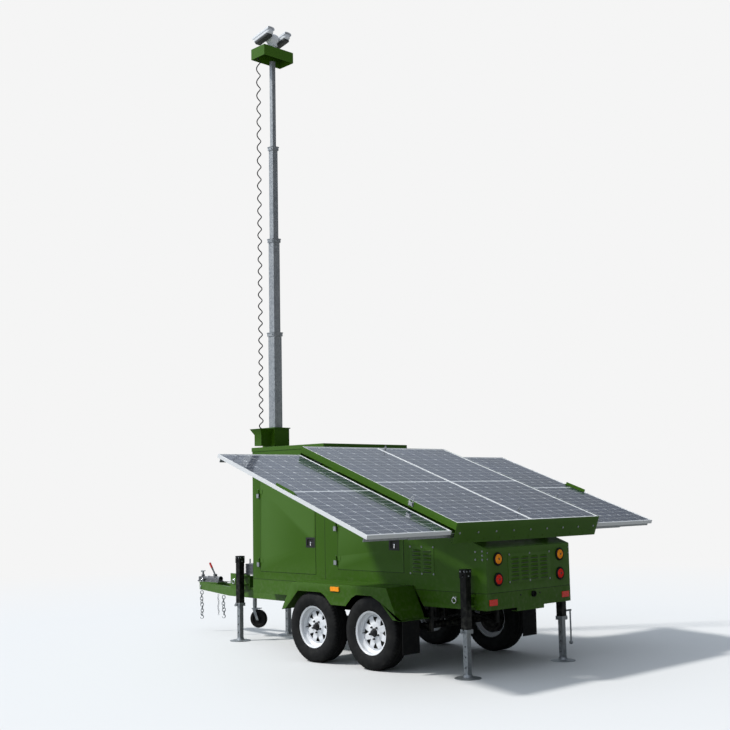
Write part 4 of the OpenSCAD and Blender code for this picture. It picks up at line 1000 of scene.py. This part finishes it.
REAR_SKIRT_Z = SEAM_Z - 0.040
for end, lens, z in (("amber", "amber_lens", AMBER_Z), ("red", "red_lens", RED_Z)):
    for side, y in (("left", LAMP_Y), ("right", -LAMP_Y)):
        lamp(f"lamp_{end}_{side}", lens, y, z)
louvred_walls()
louvre_field("rear_louvres", wall_place(at(-SHEET, 0, SEAM_Z + 0.205), -FORWARD), 4, 6, 0.560, 0.225)
for s, side in ((1, "left"), (-1, "right")):
    place = wall_place(at(SIDE_LOUVRE_X, s * (HALF_W + SHEET), SEAM_Z + 0.270), (0, s, 0))
    louvre_field(f"side_louvres_{side}", place, 2, 6, 0.270, 0.225)
rear_corner_covers()
bolt_rows()


# ---- Doors and walls ---------------------------------------------------------------------------

# Name, front edge, lower edge, width, height, latch place from the rear lower corner, sides
DOORS = (("equipment", 3.175, SEAM_Z + 0.085, 0.898, 1.045, 0.076, 0.319, (-1, 1)),
         ("battery", 1.935, SEAM_Z + 0.148, 0.917, 0.507, 0.121, 0.257, (1,)))
# Heights of each door's hinges
HINGES = ((1.640, 0.905), (1.300, 0.963))


def door_body(name, side):
    return f"{'eq' if name == 'equipment' else 'bat'}_door_{side}"


def door_fittings(name, front_x, low_z, width, height, latch_x, latch_z, sides):
    """Rubber seal line round a door, and the plate round its latch."""
    for s in sides:
        side = "left" if s > 0 else "right"
        wall = wall_place(at(front_x, s * HALF_W, low_z), (0, s, 0))
        seal = Shape(wall)
        near, far = sorted((0, -s * width))
        seal_w = 0.004
        start, end = near - seal_w, far + seal_w
        strips = (((start, 0), (end, seal_w)), ((start, height - seal_w), (end, height)),
                  ((start, 0), (near, height)), ((far, 0), (end, height)))
        for a, b in strips:
            seal.box((a[0], -0.002, a[1] - 0.004), (b[0], 0.0006, b[1]))
        seal.done(f"{name}_seal_{side}", "trailer", "black_rubber", smooth=False)
        latch = Shape()
        spot = at(front_x - width + latch_x, s * (HALF_W + 0.0004), low_z + latch_z)
        m = wall_place(spot, (0, s, 0))
        latch.place = m
        frame_out = rounded(0.140, 0.104, 0.006)
        frame_in = rounded(0.094, 0.064, 0.004, steps=3)
        turn = Matrix.Rotation(math.pi / 2, 4, "X")
        latch.plate(frame_out, 0.003, [frame_in], Matrix.Translation((0, 0.0032, 0)) @ turn)
        for x, z in ((-0.062, -0.042), (0.062, -0.042), (-0.062, 0.042), (0.062, 0.042)):
            latch.rivet((x, 0.003, z), (0, 1, 0), 0.0035)
        latch.done(f"{name}_latch_plate_{side}", door_body(name, side), "black_plastic", bevel=0.0008)


def panel_seams():
    """Folded joints between the cabinet's sheets, and along its sill."""
    lines = Shape()
    for s in (-1, 1):
        y = s * HALF_W
        a = at(STEP_X - 0.0018, y - s * 0.001, SEAM_Z + 0.004)
        b = at(STEP_X + 0.0018, y + s * 0.0005, 1.899)
        lines.box([min(p) for p in zip(a, b)], [max(p) for p in zip(a, b)])
        a, b = at(0.002, y - s * 0.001, SEAM_Z - 0.0018), at(CAB_L - 0.002, y + s * 0.0005, SEAM_Z + 0.0018)
        lines.box([min(p) for p in zip(a, b)], [max(p) for p in zip(a, b)])
    a, b = at(-0.0005, -HALF_W + 0.002, SEAM_Z - 0.0018), at(0.001, HALF_W - 0.002, SEAM_Z + 0.0018)
    lines.box(a, b)
    lines.done("panel_seams", "trailer", "black_rubber", smooth=False)


def latch_keys():
    """Chrome lock barrel and pull in the middle of each paddle latch."""
    for node in ("equipment_latch_left", "equipment_latch_right", "battery_latch_left"):
        low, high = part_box(node)
        s = 1 if high.y > 0 else -1
        face = high.y if s > 0 else low.y
        middle = Vector(((low.x + high.x) / 2, face - s * 0.0005, (low.z + high.z) / 2))
        key = Shape()
        key.lathe([(0, 0.0095), (0.0022, 0.0095), (0.0032, 0.0080), (0.0032, 0)], middle, (0, s, 0), 32)
        key.middle_box(middle + Vector((0, s * 0.0030, 0.001)), (0.0024, 0.0040, 0.012))
        key.middle_box(middle + Vector((0.002, s * 0.0015, -0.022)), (0.011, 0.0030, 0.024))
        key.done(node + "_key", BODY_OF[node], "chrome", bevel=0.0005)


def hinge_knuckles():
    """Chrome pins on the door hinges, each through four knuckles."""
    for (name, front_x, *_, sides), hinge_z in zip(DOORS, HINGES):
        for s in sides:
            side = "left" if s > 0 else "right"
            for n, z in enumerate(hinge_z):
                axis = at(front_x + 0.017, s * (HALF_W + 0.011), z)
                shape = Shape()
                for k in range(4):
                    a = axis + UP * (-0.040 + k * 0.021)
                    shape.rod(a, a + UP * 0.016, 0.0072, 20)
                shape.rod(axis - UP * 0.044, axis + UP * 0.046, 0.0045, 16)
                shape.done(f"{name}_hinge_pin_{n}_{side}", door_body(name, side), "chrome", bevel=0.0005)


for row in DOORS:
    door_fittings(*row)
panel_seams()
latch_keys()
hinge_knuckles()


# ---- Tray fittings -----------------------------------------------------------------------------

def tray_fittings():
    """Draw latch on the left rail, lifting rings between the modules and a keeper hook on the right one."""
    shape = Shape(TRAY)
    v = TRAY_HALF + 0.0002
    for u in (0.548, 0.590):
        shape.box((u - 0.010, v, -0.052), (u + 0.010, v + 0.003, -0.006))
        shape.bolt((u, v + 0.003, -0.040), (0, 1, 0), 0.010, 0.004)
        shape.box((u - 0.0015, v, -0.030), (u + 0.0015, v + 0.012, -0.008))
    shape.rod((0.540, v + 0.009, -0.014), (0.598, v + 0.009, -0.014), 0.003, 12)
    loop = [(0.552, v + 0.008, -0.012), (0.553, v - 0.002, 0.024), (0.560, v - 0.012, 0.034),
            (0.578, v - 0.012, 0.034), (0.585, v - 0.002, 0.024), (0.586, v + 0.008, -0.012)]
    shape.tube(loop, 0.0028, 10)
    shape.plate(fillet([(0, 0), (0.052, 0), (0.040, 0.034), (0.012, 0.034)], 0.006), 0.003, (),
                Matrix.Translation((0.543, v + 0.012, -0.046)) @ Matrix.Rotation(math.pi / 2, 4, "X"))
    for u, w in ((0.215, -0.045), (2.081, -0.045)):
        shape.rod((u, w, 0), (u, w, 0.010), 0.008, 16)
        shape.ring((u, w, 0.026), (1, 0.4, 0), 0.017, 0.0042)
    hook = [(0.559, -TRAY_HALF - 0.010, -0.050)] + [
        (0.559, -TRAY_HALF - 0.010 - 0.014 + 0.014 * math.cos(a), 0.002 + 0.018 * math.sin(a))
        for a in [math.pi * k / 8 for k in range(8)]
    ]
    shape.tube(hook, 0.0030, 10)
    shape.done("tray_fittings", "trailer", "galvanised", bevel=0.0005)


tray_fittings()


# ---- Jacks -------------------------------------------------------------------------------------

def jack_fittings():
    """Galvanised collar, pull pin and its ring at the foot of each jack tube, and bolts on its head."""
    tube_low, tube_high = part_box("jack_tubes")
    for end in ("front", "rear"):
        for side in ("left", "right"):
            low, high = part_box(f"jack_leg_{end}_{side}")
            x, y = (low.x + high.x) / 2, (low.y + high.y) / 2
            s = 1 if y > 0 else -1
            z = tube_low.z
            shape = Shape(Matrix.Translation((x, y, 0)))
            outer, inner = rounded(0.085, 0.085, 0.008), rounded(0.0766, 0.0766, 0.004)
            shape.plate(outer, 0.036, [inner], Matrix.Translation((0, 0, z + 0.001)))
            pin = [(0, 0.010), (0.012, 0.010), (0.014, 0.006), (0.026, 0.006), (0.027, 0.009), (0.032, 0.009)]
            shape.lathe(pin, (0, s * 0.042, z + 0.019), (0, s, 0), 20)
            shape.ring((0, s * 0.070, z + 0.014), (1, 0, 0), 0.012, 0.0018, 8, 24)
            shape.done(f"jack_collar_{end}_{side}", "trailer", "galvanised", bevel=0.0008)
            head = Shape(Matrix.Translation((x, y, tube_high.z)))
            for dx, dz in ((-0.022, -0.020), (0.022, -0.020), (0.0, -0.060)):
                head.bolt((dx, s * 0.0381, dz), (0, s, 0), 0.011, 0.005)
                head.bolt((-0.0381, -s * dx, dz), (-1, 0, 0), 0.011, 0.005)
            head.done(f"jack_bolts_{end}_{side}", "trailer", "galvanised")


jack_fittings()


# ---- Drawbar -----------------------------------------------------------------------------------

def drawbar_fittings():
    """Breakaway ring at the tip, the lever's red grip, cable and bolts on the coupling."""
    z = FRAME_Z + 0.006
    ring = Shape()
    ring.ring(at(TIP_X - 0.030, 0.062, z + 0.006), (0.3, 1, 0.1), 0.040, 0.0042, 12, 48)
    ring.ring(at(TIP_X - 0.030, 0.060, z - 0.065), (1, 0.3, 0.1), 0.028, 0.0048, 12, 40)
    ring.done("breakaway_rings", "trailer", "chrome")
    bolts = Shape()
    for dx in (0.09, 0.19, 0.30):
        for s in (-1, 1):
            bolts.bolt(at(TIP_X - dx, s * 0.039, z + 0.010), (0, 0, 1), 0.016, 0.010)
    for dx, r in ((0.335, 0.034), (0.270, 0.030), (0.095, 0.031)):
        bolts.lathe([(0, r), (0.010, r)], at(TIP_X - dx, 0, z + 0.040), FORWARD, 40)
    bolts.done("coupling_bolts", "trailer", "galvanised", bevel=0.0008)
    pivot = at(TIP_X - 0.223, 0, FRAME_Z + 0.090)
    way = Vector((math.sin(math.radians(38)), 0, math.cos(math.radians(38))))
    grip = Shape()
    start = pivot + way * 0.104
    outline = [(0, 0.0118), (0.006, 0.0128), (0.060, 0.0124), (0.070, 0.0118), (0.0745, 0.0085),
               (0.0755, 0.0)]

    def grooves(k, h, r):
        return r - (0.0008 if k % 4 == 0 and 0.005 < h < 0.065 else 0)

    grip.lathe(outline, start, way, 24, wobble=grooves)
    grip.done("handbrake_grip", "brake_lever", "red_paint")
    cable = Shape()
    path = [
        pivot + Vector((-0.05 * k, 0.020 + 0.004 * math.sin(k), -0.020 - 0.012 * min(k, 4))) for k in range(9)
    ]
    cable.tube(path, 0.004, 10)
    cable.done("brake_cable", "trailer", "cable_sheath")


drawbar_fittings()


# ---- Chains and coupling -----------------------------------------------------------------------

def rail_y(x):
    """Middle of the left drawbar rail."""
    return 0.045 + (TIP_X - x) * 0.255 / 1.740


def hanging_chain(name, top, count, inside, wire, replaces=()):
    """Links hanging one in the next, turning a little on the way down, with an open hook at the end."""
    shape = Shape()
    pitch, r = inside, wire * 1.9
    for i in range(count):
        centre = Vector(top) - UP * (pitch * (i + 0.5))
        sway = 0.004 * math.sin(i * 0.9)
        turn = Matrix.Rotation(math.pi / 2 * i + 0.5 + 0.25 * math.sin(i * 1.7), 3, "Z")
        straight = inside / 2 + wire / 2 - r
        path = []
        for k in range(20):
            a = 2 * math.pi * k / 20
            up = r * math.sin(a) + (straight if math.sin(a) >= 0 else -straight)
            path.append(centre + turn @ Vector((r * math.cos(a), 0, up)) + Vector((sway, sway / 2, 0)))
        shape.tube(path, wire / 2, 8, closed=True)
    end = Vector(top) - UP * (pitch * count)
    hook = []
    for k in range(15):
        a = math.pi * (0.5 + 1.45 * k / 14)
        hook.append(end + Vector((0.9 * math.cos(a), 0.4 * math.cos(a), math.sin(a) - 1)) * wire * 2.2)
    shape.tube([end + UP * wire * 0.9, *hook], lambda t: wire * 0.62 * (1 - 0.45 * t), 10)
    shape.done(name, "trailer", "galvanised", replaces)


def chains():
    hang_z = FRAME_Z - 0.100
    rows = (("tip", 0.088, 0.044, 0.000, 8, 0.036, 0.0095), ("rear", 0.630, 0.040, -0.024, 6, 0.036, 0.0095),
            ("breakaway", 0.490, 0.034, -0.016, 14, 0.016, 0.0042))
    for name, back, off, drop, count, inside, wire in rows:
        x = TIP_X - back
        replaces = "safety_chains" if name == "tip" else ()
        hanging_chain("chain_" + name, at(x, rail_y(x) + off, hang_z + drop), count, inside, wire, replaces)


chains()


# ---- Camera head -------------------------------------------------------------------------------

MAST_X = 3.640
HEAD_LOW, HEAD_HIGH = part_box("camera_pan_head")
POD_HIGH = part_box("camera_pods")[1]
POD_W = 0.096
POD_Z = HEAD_LOW.z + 0.150


def pan_head():
    """White casting on a round base, waisted below the tilting shaft."""
    shape = Shape(Matrix.Translation(at(MAST_X, 0, HEAD_LOW.z)))
    shape.lathe([(0, 0.061), (0.020, 0.061), (0.026, 0.055), (0.027, 0.049), (0.056, 0.046)], sides=48)
    rings = []
    sections = (
        (0.054, 0.108, 0.100, 0.03), (0.066, 0.112, 0.104, 0.03), (0.084, 0.096, 0.092, 0.03),
        (0.104, 0.100, 0.096, 0.03), (0.122, 0.140, 0.112, 0.035), (0.140, 0.148, 0.118, 0.04),
        (0.170, 0.148, 0.118, 0.04), (0.190, 0.134, 0.104, 0.04),
        (HEAD_HIGH.z - HEAD_LOW.z, 0.096, 0.070, 0.03),
    )
    for z, width, depth, r in sections:
        rings.append([(x, y, z) for x, y in rounded(depth, width, r)])
    shape.loft(rings)
    shape.done("pan_head_casting", "pan_head", "white_plastic", "camera_pan_head", bevel=0.0012, angle=40)
    seams = Shape(Matrix.Translation(at(MAST_X, 0, HEAD_LOW.z)))
    gasket = [(0.0265, 0.0535), (0.0275, 0.0535), (0.0275, 0.0495), (0.0265, 0.0495)]
    seams.lathe(gasket, sides=48, closed=True)
    for k in range(6):
        a = 2 * math.pi * k / 6
        seams.bolt((0.055 * math.cos(a), 0.055 * math.sin(a), 0.0205), (0, 0, 1), 0.008, 0.004)
    seams.done("pan_head_seal", "pan_head", "black_plastic")


def pod(side):
    """Camera housing: white shell rounded at the back, dark belly with black dots painted as the shade of its
    perforations, sun hood and window.
    """
    s = 1 if side == "left" else -1
    middle = s * (POD_HIGH.y - 0.006 - POD_W / 2)
    place = Matrix.Translation(at(MAST_X, middle, POD_Z)) @ Matrix.Rotation(math.radians(10), 4, "Y")
    shell = Shape(place)
    rings = []
    for x, k, low in ((-0.145, 0.45, 0.3), (-0.142, 0.70, 0.6), (-0.134, 0.86, 0.85), (-0.120, 0.96, 0.96),
                      (-0.100, 1, 1), (0.132, 1, 1), (0.137, 0.97, 0.97), (0.138, 0.92, 0.92)):
        w, h = POD_W * k * 0.94, 0.070 * low
        rings.append([(x, a, b) for a, b in rounded(w, h, min(w, h) * 0.3, (0, 0.012))])
    shell.loft(rings)
    shell.done(f"pod_{side}_shell", "pods", "white_plastic", "camera_pods" if s > 0 else (), bevel=0.0008)
    belly = Shape(place)
    rings = []
    for x, k in ((-0.118, 0.70), (-0.112, 0.88), (-0.104, 0.94), (0.118, 0.94), (0.124, 0.88)):
        rings.append([(x, a, b) for a, b in rounded(POD_W * k * 0.92, 0.046, 0.015, (0, -0.026))])
    belly.loft(rings)
    belly.done(f"pod_{side}_belly", "pods", "dark_plastic", bevel=0.0008)
    # Black discs stand in for the belly's holes: painted shade, no holes are cut
    painted_hole_dots = Shape(place)
    dot = [(0, 0.0028), (0.0009, 0.0022)]
    for i in range(18):
        for k in range(4):
            painted_hole_dots.lathe(dot, (-0.095 + i * 0.0118, -0.027 + k * 0.018, -0.0488), (0, 0, -1), 8)
        for k in range(2):
            spot = (-0.095 + i * 0.0118, s * 0.0414, -0.034 + k * 0.012)
            painted_hole_dots.lathe(dot, spot, (0, s, 0), 8)
    painted_hole_dots.done(f"pod_{side}_vents", "pods", "black_plastic")
    hood = Shape(place)
    rings = []
    for x in (-0.153, -0.149, -0.06, 0.04, 0.150, 0.156):
        rise = 0.001 if -0.15 < x < 0.15 else 0.0
        arch = [(-0.050, 0.020), (-0.050, 0.042), (-0.040, 0.0515 + rise), (-0.018, 0.0555 + rise),
                (0.018, 0.0555 + rise), (0.040, 0.0515 + rise), (0.050, 0.042), (0.050, 0.020)]
        inner = [(a * 0.93, b - 0.0035) for a, b in reversed(arch)]
        rings.append([(x, a, b) for a, b in arch + inner])
    hood.loft(rings)
    hood.done(f"pod_{side}_hood", "pods", "white_plastic", bevel=0.0010, angle=25)
    window = Shape(place)
    bezel = [(0, 0.031), (0.004, 0.031), (0.004, 0.027), (0.001, 0.027), (0.0012, 0)]
    window.lathe(bezel, (0.137, 0, 0.012), FORWARD)
    window.done(f"pod_{side}_bezel", "pods", "black_plastic", bevel=0.0006)
    glass = Shape(place)
    glass.lathe([(0, 0.0265), (0.0012, 0.0262), (0.0030, 0.012), (0.0032, 0)], (0.1385, 0, 0.012), FORWARD)
    glass.done(f"pod_{side}_window", "pods", "lens_glass")


def pod_shaft():
    shape = Shape(Matrix.Translation(at(MAST_X, 0, POD_Z)))
    reach = POD_HIGH.y - 0.006 - POD_W * 0.9
    shape.rod((0, -reach, 0), (0, reach, 0), 0.020, 32)
    for s in (-1, 1):
        shape.lathe([(0, 0.026), (0.006, 0.026), (0.008, 0.023)], (0, s * (0.0755), 0), (0, s, 0), 32)
    shape.done("pod_shaft", "pods", "grey_paint", bevel=0.0008)


pan_head()
for side in ("left", "right"):
    pod(side)
pod_shaft()


# ---- Floor and light -------------------------------------------------------------------------

BACKGROUND = 0.913


def floor():
    """Pale floor that fades into the background far away."""
    shape = Shape()
    near, far = 16.0, 60.0
    rings = [[(r * math.cos(a), r * math.sin(a), 0.0) for a in [2 * math.pi * k / 96 for k in range(96)]]
             for r in (0.01, near, far)]
    shape.loft(rings, caps=False)
    mesh = bpy.data.meshes.new("floor")
    shape.bm.to_mesh(mesh)
    piece = bpy.data.objects.new("floor", mesh)
    bpy.context.scene.collection.objects.link(piece)
    f = Finish("floor", roughness=0.9, specular_ior_level=0.1)
    rays = f.tree.nodes.new("ShaderNodeLightPath")
    f.colour(f.mix(rays.outputs["Is Camera Ray"], (0.26, 0.27, 0.26), (0.74, 0.74, 0.74)))
    glow = f.tree.nodes.new("ShaderNodeEmission")
    glow.inputs["Color"].default_value = (BACKGROUND, BACKGROUND, BACKGROUND, 1)
    distance = f.tree.nodes.new("ShaderNodeVectorMath")
    distance.operation = "LENGTH"
    f.link(f.coords, distance.inputs[0])
    blend = f.tree.nodes.new("ShaderNodeMixShader")
    f.link(f.band(distance.outputs["Value"], 5.0, 14.0), blend.inputs["Fac"])
    f.link(f.shader.outputs[0], blend.inputs[1])
    f.link(glow.outputs[0], blend.inputs[2])
    f.link(blend.outputs[0], f.tree.nodes["Material Output"].inputs["Surface"])
    mesh.materials.append(f.material)


def sun(name, strength, place, angle, colour):
    """Sunlight that shines from place towards the middle of the scene."""
    data = bpy.data.lights.new(name, "SUN")
    data.energy = strength
    data.color = colour
    data.angle = angle
    source = bpy.data.objects.new(name, data)
    source.matrix_world = aligned(Vector(place), Vector(place))
    bpy.context.scene.collection.objects.link(source)


def sky():
    """Even pale surroundings: plain to the camera, softer light from all round."""
    world = bpy.data.worlds.new("studio")
    world.use_nodes = True
    bpy.context.scene.world = world
    tree = world.node_tree
    plain = tree.nodes["Background"]
    plain.inputs["Color"].default_value = (BACKGROUND, BACKGROUND, BACKGROUND, 1)
    soft = tree.nodes.new("ShaderNodeBackground")
    ramp = tree.nodes.new("ShaderNodeMapRange")
    facing = tree.nodes.new("ShaderNodeVectorMath")
    facing.operation = "DOT_PRODUCT"
    facing.inputs[1].default_value = (0.56, 0.72, 0.41)
    coords = tree.nodes.new("ShaderNodeTexCoord")
    tree.links.new(coords.outputs["Generated"], facing.inputs[0])
    tree.links.new(facing.outputs["Value"], ramp.inputs["Value"])
    for key, number in (("From Min", -0.35), ("From Max", 0.5), ("To Min", 0.13), ("To Max", 0.95)):
        ramp.inputs[key].default_value = number
    soft.inputs["Color"].default_value = (0.80, 0.89, 1.0, 1)
    tree.links.new(ramp.outputs["Result"], soft.inputs["Strength"])
    rays = tree.nodes.new("ShaderNodeLightPath")
    blend = tree.nodes.new("ShaderNodeMixShader")
    tree.links.new(rays.outputs["Is Camera Ray"], blend.inputs["Fac"])
    tree.links.new(soft.outputs[0], blend.inputs[1])
    tree.links.new(plain.outputs[0], blend.inputs[2])
    tree.links.new(blend.outputs[0], tree.nodes["World Output"].inputs["Surface"])


floor()
sky()
sun("key", 2.9, (7.3, 10.0, 13.0), math.radians(5), (1.0, 0.985, 0.95))
bpy.context.scene.view_settings.view_transform = "Standard"


# ---- Nodes that keep their CAD shape -----------------------------------------------------------

made = {name for obj in bpy.data.objects for name in obj.get("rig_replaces", [])}
for node in sorted(NODES):
    if node not in made:
        soften(node)
